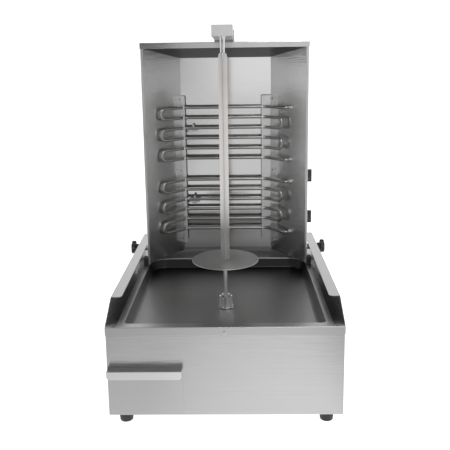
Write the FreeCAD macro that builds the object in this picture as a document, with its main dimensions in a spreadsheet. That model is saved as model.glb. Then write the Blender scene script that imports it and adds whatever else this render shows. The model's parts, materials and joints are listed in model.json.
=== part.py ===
"""Electric skewer grill: a drip-pan base with a drawer, a turning skewer and a sliding heater cabinet.

Millimetres.  +Z is up, the front faces -Y and +X is to the right as seen from the front.  Places are
measured from the base's front face (y), its middle (x) and the floor (z); every finished piece is then
set back by origin_y, so that the origin is the middle of the whole grill's footprint.
"""
import FreeCAD, Part
import math
import os
import re
import Sketcher

from FreeCAD import Placement, Rotation, Vector

os.makedirs("parts", exist_ok=True)
doc = FreeCAD.newDocument("SkewerGrill")

# ---------------------------------------------------------------------------------------------------
# Driving dimensions
# ---------------------------------------------------------------------------------------------------
SIZES = [
    # base
    ("base_width", 500.0),
    ("base_depth", 600.0),
    ("deck_top", 227.4),
    ("sheet", 1.2),
    ("seat_gap", 0.3),
    ("foot_height", 28.0),
    ("foot_top_radius", 17.0),
    ("foot_base_radius", 14.0),
    ("foot_inset_x", 31.0),
    ("foot_inset_y", 32.0),
    ("base_flange", 18.0),
    ("bottom_lip", 12.0),
    # drip pan
    ("skirt_drop", 17.7),
    ("pan_depth", 25.0),
    ("pan_side_rim", 36.0),
    ("pan_front_rim", 20.0),
    ("pan_rear_rim", 137.0),
    ("pan_rear_corner", 45.0),
    ("pan_front_corner", 10.0),
    ("notch_width", 3.0),
    ("notch_length", 16.0),
    ("notch_inset", 13.0),
    ("notch_lean", 7.0),
    ("pan_screw_rise", 6.0),
    # side guards
    ("guard_height", 37.6),
    ("guard_flange", 24.0),
    ("guard_foot", 24.0),
    ("guard_start", 3.0),
    ("guard_slope", 73.0),
    ("guard_rear_gap", 8.0),
    ("guard_round", 8.0),
    # drawer
    ("drawer_width", 160.0),
    ("drawer_top", 138.0),
    ("drawer_length", 430.0),
    ("drawer_height", 84.0),
    ("handle_reach", 20.0),
    ("handle_drop", 18.0),
    ("handle_round", 7.0),
    ("runner_height", 22.0),
    # drive
    ("skewer_place", 170.0),
    ("socket_radius", 15.5),
    ("socket_height", 31.5),
    ("socket_bore_depth", 21.5),
    ("socket_flange", 3.5),
    ("shaft_radius", 5.0),
    ("bush_radius", 16.0),
    ("gearbox_width", 74.0),
    ("gearbox_depth", 58.0),
    ("gearbox_height", 34.0),
    ("motor_radius", 30.0),
    ("motor_height", 46.0),
    ("bracket_drop", 16.0),
    # skewer
    ("rod_radius", 5.0),
    ("disc_rise", 84.1),
    ("disc_radius", 77.0),
    ("disc_thick", 2.0),
    ("bar_side", 15.0),
    ("bar_below_arm", 35.3),
    ("tip_height", 7.0),
    ("tang_width", 6.0),
    ("tang_thick", 2.4),
    ("tang_height", 12.0),
    ("spindle_radius", 5.4),
    # cabinet
    ("cabinet_rear_gap", 10.0),
    ("cabinet_depth", 190.0),
    ("cabinet_side_gap", 34.5),
    ("cabinet_height", 585.0),
    ("cabinet_lift", 8.6),
    ("cabinet_travel", 120.0),
    ("cap_drop", 15.0),
    ("front_return", 6.6),
    ("reflector_width", 250.0),
    ("reflector_set_back", 123.0),
    ("roof_fall", 23.0),
    ("liner", 1.0),
    # heating elements
    ("tube_radius", 4.0),
    ("tube_pitch", 28.2),
    ("tube_stand_off", 24.0),
    ("tube_bend", 14.0),
    ("lower_run_rise", 211.5),
    ("run_spacing", 201.5),
    ("loop_stand_off", 24.3),
    ("loop_toe", 10.4),
    ("left_loop", 84.9),
    ("right_loop", 55.2),
    ("terminal_along", 82.7),
    ("terminal_rise", 16.0),
    ("terminal_tail", 14.0),
    ("terminal_bend", 8.0),
    ("ferrule_radius", 5.2),
    ("ferrule_height", 6.0),
    ("rack_place", 14.0),
    ("rack_foot", 12.0),
    ("rack_wall", 1.2),
    ("rack_round", 4.0),
    ("rack_over", 31.0),
    ("rack_under", 42.5),
    ("rack_hole", 2.4),
    ("right_rack_reach", 98.0),
    ("left_rack_reach", 113.0),
    ("saddle_width", 4.0),
    ("saddle_room", 1.1),
    ("knee_room", 7.5),
    ("sensor_radius", 2.2),
    ("sensor_length", 30.0),
    ("sensor_inset", 21.0),
    ("capillary_radius", 0.9),
    ("capillary_bend", 3.0),
    ("capillary_inset", 14.5),
    ("capillary_drop", 5.0),
    ("capillary_start", 2.0),
    ("capillary_tail", 8.0),
    ("grommet_flange", 3.1),
    ("grommet_neck", 2.1),
    ("clip_length", 13.0),
    ("clip_wall", 1.2),
    ("clip_jaw", 3.5),
    ("clip_thick_jaw", 3.0),
    ("clip_nut_radius", 3.2),
    ("clip_nut_height", 4.0),
    # knobs
    ("control_place", 75.0),
    ("control_spacing", 116.0),
    ("lower_control_rise", 108.0),
    ("control_radius", 19.5),
    ("control_length", 18.0),
    ("control_shaft_radius", 3.0),
    ("control_shaft_inside", 12.0),
    ("control_shaft_outside", 11.0),
    ("control_gap", 1.0),
    ("control_skirt", 5.0),
    ("control_taper", 1.5),
    ("control_grip", 4.0),
    ("thermostat_depth", 24.0),
    ("thermostat_half", 17.0),
    ("clamp_place", 112.0),
    ("clamp_radius", 19.5),
    ("clamp_length", 24.0),
    ("clamp_head", 12.0),
    ("clamp_hub_radius", 9.0),
    ("clamp_hollow", 9.5),
    ("clamp_hollow_out", 5.0),
    ("spacer_radius", 8.0),
    ("washer_radius", 11.0),
    ("washer_thick", 1.2),
    ("stud_radius", 4.0),
    ("stud_hold", 12.0),
    # arm
    ("arm_width", 46.0),
    ("arm_height", 24.0),
    ("arm_wall", 2.0),
    ("arm_overhang", 22.0),
    ("arm_length", 440.0),
    ("guide_wall", 2.0),
    ("guide_base", 3.0),
    ("guide_length", 25.0),
    ("guide_foot", 14.0),
    # inlet
    ("gland_inset", 85.5),
    ("gland_rise", 39.0),
    ("gland_radius", 11.0),
    ("gland_length", 20.0),
    ("gland_flange", 6.0),
    ("gland_bore", 4.0),
    # fasteners and small parts
    ("running_gap", 0.1),
    ("screw_radius", 2.0),
    ("head_radius", 3.4),
    ("head_height", 2.2),
    ("hex_radius", 5.8),
    ("hex_height", 4.0),
    ("bolt_radius", 3.0),
]

# Worked-out places: name, formula in the driving dimensions and the earlier lines of this list.
PLACES = [
    ("half_base", "base_width / 2"),
    ("half_skirt", "half_base + seat_gap + sheet"),
    ("rim_under", "deck_top - sheet"),
    ("pan_floor", "deck_top - pan_depth"),
    ("pan_under", "pan_floor - sheet"),
    ("half_pan", "half_base - pan_side_rim"),
    ("pan_rear", "base_depth - pan_rear_rim"),
    ("floor_inside", "foot_height + sheet"),
    ("guard_top", "deck_top + guard_height"),
    ("guard_end", "base_depth - guard_rear_gap"),
    ("drawer_left", "-(half_base - 0.5)"),
    ("drawer_right", "drawer_left + drawer_width"),
    ("drawer_face", "-(seat_gap + sheet)"),
    ("drawer_base", "foot_height + 1.5"),
    ("box_left", "-(half_base - sheet * 3 - seat_gap * 2)"),
    ("box_right", "drawer_right - 4"),
    ("box_base", "floor_inside + sheet + seat_gap"),
    ("handle_front", "drawer_face - handle_reach"),
    ("box_top", "box_base + drawer_height"),
    ("shaft_top", "pan_floor + socket_height - socket_bore_depth - 1"),
    ("socket_base", "pan_floor + sheet + seat_gap"),
    ("socket_top", "pan_floor + socket_height"),
    ("gearbox_top", "pan_under - bracket_drop"),
    ("gearbox_base", "gearbox_top - gearbox_height"),
    ("half_cabinet", "half_base - cabinet_side_gap"),
    ("cabinet_base", "deck_top + cabinet_lift"),
    ("cabinet_rear", "base_depth - cabinet_rear_gap"),
    ("cabinet_front", "cabinet_rear - cabinet_depth"),
    ("cap_top", "cabinet_base + cabinet_height"),
    ("cap_under", "cap_top - sheet"),
    ("mouth_top", "cap_top - cap_drop"),
    ("half_mouth", "half_cabinet - front_return"),
    ("wing_front", "cabinet_front + sheet + seat_gap"),
    ("reflector_face", "cabinet_front + reflector_set_back"),
    ("half_reflector", "reflector_width / 2"),
    ("wing_run", "half_mouth - half_reflector"),
    ("wing_depth", "reflector_face - wing_front"),
    ("wing_length", "sqrt(wing_run ^ 2 + wing_depth ^ 2)"),
    ("wing_nx", "wing_depth / wing_length"),
    ("wing_ny", "wing_run / wing_length"),
    ("roof_rear", "mouth_top - roof_fall"),
    ("roof_slope", "roof_fall / wing_depth"),
    ("tube_plane", "reflector_face - tube_stand_off"),
    ("straight_half", "half_reflector - (loop_stand_off - tube_stand_off * wing_ny) / wing_nx"),
    ("terminal_x", "half_reflector + terminal_along * wing_ny"),
    ("terminal_y", "reflector_face - terminal_along * wing_nx"),
    ("lower_run", "cabinet_base + lower_run_rise"),
    ("upper_run", "lower_run + run_spacing"),
    ("rack_top", "upper_run + rack_over"),
    ("rack_base", "lower_run - 5 * tube_pitch - rack_under"),
    ("rack_face", "tube_plane + tube_radius + running_gap"),
    ("rack_leg", "rack_place + rack_wall"),
    ("leg_reach", "(reflector_face - rack_leg * wing_nx - rack_face) / wing_ny"),
    ("sensor_place", "straight_half - sensor_inset"),
    ("capillary_x", "half_reflector - capillary_inset"),
    ("lower_control", "cabinet_base + lower_control_rise"),
    ("upper_control", "lower_control + control_spacing"),
    ("disc_height", "socket_top + disc_rise"),
    ("bar_base", "disc_height + disc_thick"),
    ("half_bar", "bar_side / sqrt(2)"),
    ("clamp_face", "half_skirt + seat_gap + 1.5"),
    ("control_y", "cabinet_front + control_place"),
    ("clamp_y", "cabinet_front + clamp_place"),
    ("clamp_z", "deck_top + guard_height / 2"),
    ("arm_front", "skewer_place - arm_overhang"),
    ("arm_rear", "arm_front + arm_length"),
    ("arm_base", "cap_top + guide_base + seat_gap"),
    ("bar_top", "arm_base - bar_below_arm"),
    ("arm_top", "arm_base + arm_height"),
    ("guide_half", "arm_width / 2 + seat_gap"),
    ("guide_top", "arm_top + seat_gap + guide_wall"),
    ("gland_x", "half_cabinet - gland_inset"),
    ("gland_z", "cabinet_base + gland_rise"),
    ("rear_extreme", "cabinet_rear + gland_length"),
    ("origin_y", "(handle_front + rear_extreme) / 2"),
]

sheet = doc.addObject("Spreadsheet::Sheet", "Sizes")
for row, (name, size) in enumerate(SIZES, start=1):
    sheet.set("A%d" % row, name)
    sheet.set("B%d" % row, repr(size))
    sheet.setAlias("B%d" % row, name)
doc.recompute()

WORD = re.compile(r"[A-Za-z_]+")
HOLDERS = {name: "Sizes." + name for name, size in SIZES}


def full(formula):
    """A formula with each named size written as the document knows it."""
    return WORD.sub(lambda word: HOLDERS.get(word.group(), word.group()), str(formula))


places = doc.addObject("App::VarSet", "Places")
for name, formula in PLACES:
    places.addProperty("App::PropertyFloat", name)
    places.setExpression(name, full(formula))
    HOLDERS[name] = "Places." + name
doc.recompute()


def number(name):
    """The present value of a named size or place."""
    if HOLDERS[name].startswith("Sizes."):
        return float(sheet.get(name))
    return float(getattr(places, name))


# ---------------------------------------------------------------------------------------------------
# Construction helpers
# ---------------------------------------------------------------------------------------------------
AXIS_TURN = {
    "z": Rotation(),
    "x": Rotation(Vector(0, 1, 0), 90),
    "y": Rotation(Vector(1, 0, 0), -90),
}
finished = []


def bind(item, **formulas):
    """Tie properties of an object to formulas; underscores in a name stand for dots."""
    for prop, formula in formulas.items():
        item.setExpression(prop.replace("__", "."), full(formula))
    return item


def at(item, x=0, y=0, z=0):
    """Tie an object's place to three formulas."""
    return bind(item, Placement__Base__x=x, Placement__Base__y=y, Placement__Base__z=z)


def block(x, y, z):
    """A box between two formulas on each axis."""
    item = doc.addObject("Part::Box", "Block")
    bind(item, Length="(%s) - (%s)" % (x[1], x[0]), Width="(%s) - (%s)" % (y[1], y[0]),
         Height="(%s) - (%s)" % (z[1], z[0]))
    return at(item, x[0], y[0], z[0])


def rod(axis, x, y, z, radius, length):
    """A cylinder that starts at a point and runs along +x, +y or +z."""
    item = doc.addObject("Part::Cylinder", "Rod")
    item.Placement = Placement(Vector(), AXIS_TURN[axis])
    bind(item, Radius=radius, Height=length)
    return at(item, x, y, z)


def cone(axis, x, y, z, first, last, length):
    """A cone from its first to its last radius along +x, +y or +z."""
    item = doc.addObject("Part::Cone", "Taper")
    item.Placement = Placement(Vector(), AXIS_TURN[axis])
    bind(item, Radius1=first, Radius2=last, Height=length)
    return at(item, x, y, z)


def fuse(*items):
    if len(items) == 1:
        return items[0]
    item = doc.addObject("Part::MultiFuse", "Joined")
    item.Shapes = list(items)
    item.Refine = True
    return item


def cut(base, *tools):
    item = doc.addObject("Part::Cut", "Trimmed")
    item.Base = base
    item.Tool = fuse(*tools)
    item.Refine = True
    return item


def common(first, second):
    item = doc.addObject("Part::Common", "Shared")
    item.Base = first
    item.Tool = second
    return item


def mirrored(source):
    """The same piece on the other side of the grill's middle plane."""
    item = doc.addObject("Part::Mirroring", "Mirrored")
    item.Source = source
    item.Normal = Vector(1, 0, 0)
    return item


def group(*items):
    """Loose solids that share one node."""
    item = doc.addObject("Part::Compound", "Set")
    item.Links = list(items)
    return item


def finish(label, item, y="0"):
    """Name a finished piece, modelled about a line at y, and set it back to the shared origin."""
    item.Label = label
    bind(item, Placement__Base__y="(%s) - origin_y" % y)
    finished.append(item)
    return item


PLANES = {"xy": "XY_Plane", "xz": "XZ_Plane", "yz": "YZ_Plane"}


def new_body(name):
    return doc.addObject("PartDesign::Body", name)


def sketch_on(body, plane, offset=0):
    """An empty sketch on one of its body's origin planes, moved along the plane's normal."""
    sketch = body.newObject("Sketcher::SketchObject", "Outline")
    origin_plane = [f for f in body.Origin.OriginFeatures if f.Role == PLANES[plane]][0]
    sketch.AttachmentSupport = [(origin_plane, "")]
    sketch.MapMode = "FlatFace"
    bind(sketch, AttachmentOffset__Base__z=offset)
    return sketch


def polygon(sketch, corners):
    """A closed outline; each corner's two distances from the origin are tied to formulas."""
    count = len(corners)
    doc.recompute()
    start = sketch.GeometryCount
    rough = [Vector(number_of(u), number_of(v), 0) for u, v in corners]
    for i in range(count):
        sketch.addGeometry(Part.LineSegment(rough[i], rough[(i + 1) % count]), False)
    for i in range(count):
        sketch.addConstraint(Sketcher.Constraint("Coincident", start + i, 2, start + (i + 1) % count, 1))
    for i, (u, v) in enumerate(corners):
        for kind, formula, guess in (("DistanceX", u, rough[i].x), ("DistanceY", v, rough[i].y)):
            index = sketch.addConstraint(Sketcher.Constraint(kind, -1, 1, start + i, 1, guess))
            sketch.setExpression("Constraints[%d]" % index, full(formula))
    return sketch


scratch = doc.addObject("App::VarSet", "Scratch")
scratch.addProperty("App::PropertyFloat", "value")


def number_of(formula):
    """The present value of a formula."""
    scratch.setExpression("value", full(formula))
    scratch.recompute()
    return scratch.value


def pad(body, sketch, length, reverse=False):
    feature = body.newObject("PartDesign::Pad", "Pad")
    feature.Profile = sketch
    feature.Reversed = reverse
    bind(feature, Length=length)
    return feature


def pocket(body, sketch, length, reverse=False):
    feature = body.newObject("PartDesign::Pocket", "Pocket")
    feature.Profile = sketch
    feature.Reversed = reverse
    bind(feature, Length=length)
    return feature


def edges_where(shape, test):
    """Names of the edges whose two ends and middle pass a test."""
    names = []
    for index, edge in enumerate(shape.Edges, start=1):
        ends = [v.Point for v in edge.Vertexes]
        if len(ends) == 2 and test(ends[0], ends[1]):
            names.append("Edge%d" % index)
    return names


def fillet(body, radius, test):
    """Round the edges of a body's tip that pass a test."""
    doc.recompute()
    base = body.Tip
    feature = body.newObject("PartDesign::Fillet", "Round")
    feature.Base = (base, edges_where(base.Shape, test))
    bind(feature, Radius=radius)
    return feature


def prism(plane, corners, offset, length, reverse=False):
    """A body made by one pad of a closed outline."""
    body = new_body("Prism")
    sketch = polygon(sketch_on(body, plane, offset), corners)
    pad(body, sketch, length, reverse)
    return body


def slab(plane, corners, first, last):
    """A prism between two formulas along the plane's +x, +y or +z direction."""
    length = "(%s) - (%s)" % (last, first)
    if plane == "xz":
        return prism(plane, corners, "-(%s)" % first, length, True)
    return prism(plane, corners, first, length)


def near(a, b):
    return abs(a - b) < 0.01


def upright(p, q):
    return near(p.x, q.x) and near(p.y, q.y)


def around(middle, half):
    return ("(%s) - (%s)" % (middle, half), "(%s) + (%s)" % (middle, half))


def both_sides(formula):
    """A span from minus a formula to plus it."""
    return ("-(%s)" % formula, formula)


def hexagon(x, y, radius):
    """Corners of a regular hexagon about a point, as formulas."""
    return [("(%s) + %s * cos(%d)" % (x, radius, turn), "(%s) + %s * sin(%d)" % (y, radius, turn))
            for turn in range(0, 360, 60)]


# ---------------------------------------------------------------------------------------------------
# Base: folded sheet panels, feet, drip pan, guards
# ---------------------------------------------------------------------------------------------------
def side_panel():
    """The left side of the base: an upright wall with a flange turned in under the pan's rim."""
    return slab("xz", [
        ("-half_base", "foot_height"),
        ("sheet - half_base", "foot_height"),
        ("sheet - half_base", "rim_under - sheet"),
        ("base_flange - half_base", "rim_under - sheet"),
        ("base_flange - half_base", "rim_under"),
        ("-half_base", "rim_under"),
    ], "sheet", "base_depth - sheet")


def front_panel():
    opening = block(("box_left - 1", "box_right + 1"), ("-1", "sheet + 1"), ("box_base - 1", "drawer_top - 6"))
    screw_hole = rod("y", "0", "-1", "deck_top - skirt_drop + pan_screw_rise", "screw_radius + running_gap",
                     "sheet + 2")
    wall = block(both_sides("half_base"), ("0", "sheet"), ("foot_height", "rim_under"))
    return cut(wall, opening, screw_hole)


def slots(count, x, z, length, width, pitch, y_from, y_to):
    """A stack of straight vent slots with their lowest at z."""
    return [block((x, "(%s) + %s" % (x, length)), (y_from, y_to),
                  ("%s + %g" % (z, i * pitch), "%s + %g" % (z, i * pitch + width))) for i in range(count)]


def back_panel():
    wall = block(both_sides("half_base"), ("base_depth - sheet", "base_depth"), ("foot_height", "rim_under"))
    y_span = ("base_depth - sheet - 1", "base_depth + 1")
    vents = slots(6, "-half_base / 2 - 35", "foot_height + 60", 70, 4, 11, *y_span)
    vents += slots(6, "half_base / 2 - 35", "foot_height + 60", 70, 4, 11, *y_span)
    return cut(wall, *vents)


FOOT_PLACES = [(x, y) for x in ("foot_inset_x - half_base", "half_base - foot_inset_x")
               for y in ("foot_inset_y", "base_depth - foot_inset_y")]


def bottom_panel():
    """The base's floor, with its long edges turned up against the side panels."""
    tray = slab("xz", [
        ("sheet - half_base", "foot_height"),
        ("half_base - sheet", "foot_height"),
        ("half_base - sheet", "foot_height + bottom_lip"),
        ("half_base - 2 * sheet", "foot_height + bottom_lip"),
        ("half_base - 2 * sheet", "floor_inside"),
        ("2 * sheet - half_base", "floor_inside"),
        ("2 * sheet - half_base", "foot_height + bottom_lip"),
        ("sheet - half_base", "foot_height + bottom_lip"),
    ], "sheet", "base_depth - sheet")
    holes = [rod("z", x, y, "foot_height - 1", "screw_radius + 1 + running_gap", "sheet + 2")
             for x, y in FOOT_PLACES]
    return cut(tray, *holes)


def foot(x, y):
    """A tapered rubber foot with a countersunk screw hole in its sole."""
    body = cone("z", x, y, "0", "foot_base_radius", "foot_top_radius", "foot_height")
    recess = rod("z", x, y, "-1", "screw_radius * 3", "foot_height / 2 + 1")
    hole = rod("z", x, y, "0", "screw_radius + 1 + running_gap", "foot_height + 1")
    return cut(body, recess, hole)


def foot_screw(x, y):
    head = rod("z", x, y, "foot_height / 2 - head_height", "screw_radius * 2.7", "head_height")
    shank = rod("z", x, y, "foot_height / 2 - 1", "screw_radius + 1", "foot_height / 2 + sheet + 2.2")
    return fuse(head, shank)


def foot_nut(x, y):
    """A thin nut, low enough to clear the drawer above it."""
    nut = slab("xy", hexagon(x, y, "hex_radius"), "floor_inside", "floor_inside + sheet")
    return cut(nut, rod("z", x, y, "floor_inside - 1", "screw_radius + 1 + running_gap / 2", "6"))


def rounded_tub(grow, z):
    """The pan's recess as a solid, grown sideways by a formula, with its upright corners and foot rounded."""
    left, right = both_sides("half_pan + " + grow)
    front, rear = "pan_front_rim - " + grow, "pan_rear + " + grow
    tub = slab("xy", [(left, front), (right, front), (right, rear), (left, rear)], *z)
    doc.recompute()
    middle = number_of("(pan_front_rim + pan_rear) / 2")
    fillet(tub, "pan_rear_corner + " + grow, lambda p, q: upright(p, q) and p.y > middle)
    fillet(tub, "pan_front_corner + " + grow, lambda p, q: upright(p, q) and p.y < middle and
           abs(abs(p.x) - number_of("half_pan + " + grow)) < 0.01)
    floor_level = number_of(z[0])
    fillet(tub, "5 + " + grow, lambda p, q: near(p.z, floor_level) and near(q.z, floor_level))
    return tub


def drip_pan():
    """A rim with a folded skirt all round, a sunk floor, relief notches and the drive's hole."""
    lid = block(both_sides("half_skirt"), ("drawer_face", "base_depth - drawer_face"),
                ("deck_top - skirt_drop", "deck_top"))
    under = block(both_sides("half_skirt - sheet"), ("-seat_gap", "base_depth + seat_gap"),
                  ("deck_top - skirt_drop - 1", "rim_under"))
    tub = rounded_tub("sheet", ("pan_under", "deck_top"))
    hollow = rounded_tub("0", ("pan_floor", "deck_top + 1"))
    notches = [slab("xy", [
        ("%s(half_base - notch_inset)" % side, "-seat_gap"),
        ("%s(half_base - notch_inset - notch_width)" % side, "-seat_gap"),
        ("%s(half_base - notch_inset - notch_width - notch_lean)" % side, "notch_length"),
        ("%s(half_base - notch_inset - notch_lean)" % side, "notch_length"),
    ], "rim_under - 1", "deck_top + 1") for side in ("-", "")]
    drive_hole = rod("z", "0", "skewer_place", "pan_under - 1", "bush_radius - 5 + running_gap", "sheet + 2")
    screw_hole = rod("y", "0", "drawer_face - 1", "deck_top - skirt_drop + pan_screw_rise",
                     "screw_radius + running_gap", "sheet + 2")
    return cut(fuse(cut(lid, under), tub), hollow, drive_hole, screw_hole, *notches)


def pan_screw():
    height = "deck_top - skirt_drop + pan_screw_rise"
    head = rod("y", "0", "drawer_face - head_height", height, "head_radius", "head_height")
    shank = rod("y", "0", "drawer_face - 0.5", height, "screw_radius", "9")
    return fuse(head, shank)


def left_guard():
    """A side guard: a wall with a sloped front, a flange turned in at the top and a foot on the rim."""
    wall = slab("yz", [
        ("guard_start", "deck_top"),
        ("guard_end", "deck_top"),
        ("guard_end", "guard_top"),
        ("guard_start + guard_slope", "guard_top"),
    ], "-half_skirt", "sheet - half_skirt")
    flange = slab("xy", [
        ("-half_skirt", "guard_start + guard_slope"),
        ("guard_flange - half_skirt", "guard_start + guard_slope"),
        ("guard_flange - half_skirt", "guard_end"),
        ("-half_skirt", "guard_end"),
    ], "guard_top - sheet", "guard_top")
    inner_edge = number("guard_flange") - number("half_skirt")
    fillet(flange, "guard_round", lambda p, q: upright(p, q) and near(p.x, inner_edge))
    lower = block(("-half_skirt", "guard_foot - half_skirt"), ("guard_start + 1", "guard_end"),
                  ("deck_top", "deck_top + sheet"))
    slot_half = "stud_radius + 0.6"
    through = ("-half_skirt - 1", "sheet - half_skirt + 1")
    slot = block(through, ("clamp_y - cabinet_travel", "clamp_y"),
                 ("clamp_z - (%s)" % slot_half, "clamp_z + %s" % slot_half))
    ends = [rod("x", through[0], y, "clamp_z", slot_half, "sheet + 2")
            for y in ("clamp_y - cabinet_travel", "clamp_y")]
    return cut(fuse(wall, flange, lower), slot, *ends)


finish("base_left_side", side_panel())
finish("base_right_side", mirrored(side_panel()))
finish("base_front", front_panel())
finish("base_back", back_panel())
finish("base_bottom", bottom_panel())
finish("feet", group(*[foot(x, y) for x, y in FOOT_PLACES]))
finish("foot_fasteners", group(*[make(x, y) for x, y in FOOT_PLACES for make in (foot_screw, foot_nut)]))
finish("drip_pan", drip_pan())
finish("pan_screw", pan_screw())
finish("left_guard", left_guard())
finish("right_guard", mirrored(left_guard()))

# ---------------------------------------------------------------------------------------------------
# Drawer
# ---------------------------------------------------------------------------------------------------
def drawer_runner(edge, outward):
    """An angle on the base's floor: its ledge carries the drawer's bottom and its wall guides the side."""
    wall_in = "%s %s seat_gap" % (edge, outward)
    wall_out = "%s %s (seat_gap + sheet)" % (edge, outward)
    inward = "-" if outward == "+" else "+"
    ledge = "%s %s 10" % (edge, inward)
    corners = [(wall_out, "floor_inside"), (ledge, "floor_inside"), (ledge, "floor_inside + sheet"),
               (wall_in, "floor_inside + sheet"), (wall_in, "floor_inside + runner_height"),
               (wall_out, "floor_inside + runner_height")]
    return slab("xz", corners, "sheet + 2", "drawer_length + 12")


def drawer_box():
    walls = block(("box_left", "box_right"), ("-seat_gap", "drawer_length"), ("box_base", "box_top"))
    inside = block(("box_left + sheet", "box_right - sheet"), ("sheet - seat_gap", "drawer_length - sheet"),
                   ("box_base + sheet", "box_top + 1"))
    return cut(walls, inside)


def drawer_front():
    """A plate over the opening; its top edge is folded out and down into a full-width handle."""
    plate = block(("drawer_left", "drawer_right"), ("drawer_face", "-seat_gap"), ("drawer_base", "drawer_top"))
    lip_base = "drawer_top - handle_drop"
    handle = slab("yz", [
        ("drawer_face + sheet / 2", "drawer_top - sheet"),
        ("drawer_face + sheet / 2", "drawer_top"),
        ("handle_front", "drawer_top"),
        ("handle_front", lip_base),
        ("handle_front + sheet", lip_base),
        ("handle_front + sheet", "drawer_top - sheet"),
    ], "drawer_left + 1.5", "drawer_right - 1.5")
    low, front = number_of(lip_base), number("handle_front")
    fillet(handle, "handle_round", lambda p, q: near(p.z, low) and near(q.z, low) and near(p.x, q.x))
    fillet(handle, "sheet * 0.8", lambda p, q: near(p.y, front) and near(q.y, front) and
           near(p.z, q.z) and near(p.z, number("drawer_top")))
    return fuse(plate, handle)


finish("drawer_runners", group(drawer_runner("box_left", "-"), drawer_runner("box_right", "+")))
finish("drawer_box", drawer_box())
finish("drawer_front", drawer_front())


# ---------------------------------------------------------------------------------------------------
# Drive under the pan
# ---------------------------------------------------------------------------------------------------
def motor_bracket():
    """A hat-shaped strap under the pan's floor that hangs the gearbox."""
    half_web, half_hat = "gearbox_width / 2 + 6", "gearbox_width / 2 + 24"
    web_top = "gearbox_top + sheet"
    strap = slab("xz", [
        ("-(%s)" % half_hat, "pan_under"), ("-(%s)" % half_web, "pan_under"),
        ("-(%s)" % half_web, web_top), (half_web, web_top),
        (half_web, "pan_under"), (half_hat, "pan_under"),
        (half_hat, "pan_under - sheet"), ("%s + sheet" % half_web, "pan_under - sheet"),
        ("%s + sheet" % half_web, "gearbox_top"), ("-(%s + sheet)" % half_web, "gearbox_top"),
        ("-(%s + sheet)" % half_web, "pan_under - sheet"), ("-(%s)" % half_hat, "pan_under - sheet"),
    ], "-gearbox_depth / 2", "gearbox_depth / 2")
    return cut(strap, rod("z", "0", "0", "gearbox_top - 1", "shaft_radius + 5", "sheet + 2"))


def gearbox():
    """A die-cast box with rounded corners, a raised spigot and the shaft's blind bore."""
    half_x, half_y = "gearbox_width / 2", "gearbox_depth / 2"
    corners = [("-" + half_x, "-" + half_y), (half_x, "-" + half_y), (half_x, half_y), ("-" + half_x, half_y)]
    box = slab("xy", corners,
               "gearbox_base", "gearbox_top")
    fillet(box, "6", upright)
    spigot = rod("z", "0", "0", "gearbox_top - 1", "shaft_radius + 4", "sheet + 4")
    bore = rod("z", "0", "0", "gearbox_top - 14", "shaft_radius + running_gap", "40")
    return cut(fuse(box, spigot), bore)


def motor():
    can = rod("z", "0", "0", "gearbox_base - motor_height", "motor_radius", "motor_height")
    end = rod("z", "0", "0", "gearbox_base - motor_height - 4", "motor_radius / 3", "5")
    return fuse(can, end)


def shaft_bush():
    """A flanged bush in the pan's floor that keeps drippings off the drive."""
    barrel = rod("z", "0", "0", "pan_under - 4", "bush_radius - 5", "sheet + 5")
    flange = rod("z", "0", "0", "pan_floor", "bush_radius", "sheet")
    bore = rod("z", "0", "0", "pan_under - 5", "shaft_radius + running_gap", "40")
    return cut(fuse(barrel, flange), bore)


def drive_socket():
    """A turned socket with a base flange and six notches in its rim that take the skewer's cross pin."""
    body = new_body("Socket")
    profile = polygon(sketch_on(body, "xz"), [
        ("shaft_radius + 0.02", "socket_base"),
        ("socket_radius + socket_flange", "socket_base"),
        ("socket_radius + socket_flange", "socket_base + 1.5"),
        ("socket_radius", "socket_base + 2.5"),
        ("socket_radius", "socket_top - 1"),
        ("socket_radius - 1", "socket_top"),
        ("rod_radius + 3.5", "socket_top"),
        ("rod_radius + running_gap", "socket_top - 3.5"),
        ("rod_radius + running_gap", "shaft_top + 1"),
        ("0", "shaft_top + 1"),
        ("0", "shaft_top"),
        ("shaft_radius + 0.02", "shaft_top"),
    ])
    turned = body.newObject("PartDesign::Revolution", "Turned")
    turned.Profile = profile
    turned.ReferenceAxis = (profile, ["V_Axis"])
    turned.Angle = 360
    doc.recompute()
    notch_sketch = polygon(sketch_on(body, "xy", "socket_top - 6"), [
        ("rod_radius", "-2.5"), ("socket_radius + 2", "-2.5"),
        ("socket_radius + 2", "2.5"), ("rod_radius", "2.5")])
    notch = pocket(body, notch_sketch, "8", True)
    doc.recompute()
    ring = body.newObject("PartDesign::PolarPattern", "Notches")
    ring.Originals = [notch]
    ring.Axis = ([f for f in body.Origin.OriginFeatures if f.Role == "Z_Axis"][0], [""])
    ring.Angle = 360
    ring.Occurrences = 6
    body.Tip = ring
    return body


finish("motor_bracket", motor_bracket(), "skewer_place")
finish("gearbox", gearbox(), "skewer_place")
finish("motor", motor(), "skewer_place")
finish("shaft_bush", shaft_bush(), "skewer_place")
finish("drive_shaft", rod("z", "0", "0", "gearbox_top - 12", "shaft_radius", "shaft_top - gearbox_top + 12"),
       "skewer_place")
finish("drive_socket", drive_socket(), "skewer_place")

# ---------------------------------------------------------------------------------------------------
# Skewer
# ---------------------------------------------------------------------------------------------------
def skewer_rod():
    """The round foot of the skewer, with cross holes for the drive pin and the pin under the disc."""
    length = "bar_base + 40 - shaft_top - 1.5"
    shaft = rod("z", "0", "0", "shaft_top + 1.5", "rod_radius", length)
    drive_hole = rod("x", "-20", "0", "socket_top - 3", "screw_radius + 0.02", "40")
    disc_hole = rod("x", "-20", "0", "disc_height - screw_radius", "screw_radius + 0.02", "40")
    return cut(shaft, drive_hole, disc_hole)


def square_on_corner(half):
    return [("-(%s)" % half, "0"), ("0", "-(%s)" % half), (half, "0"), ("0", half)]


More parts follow.
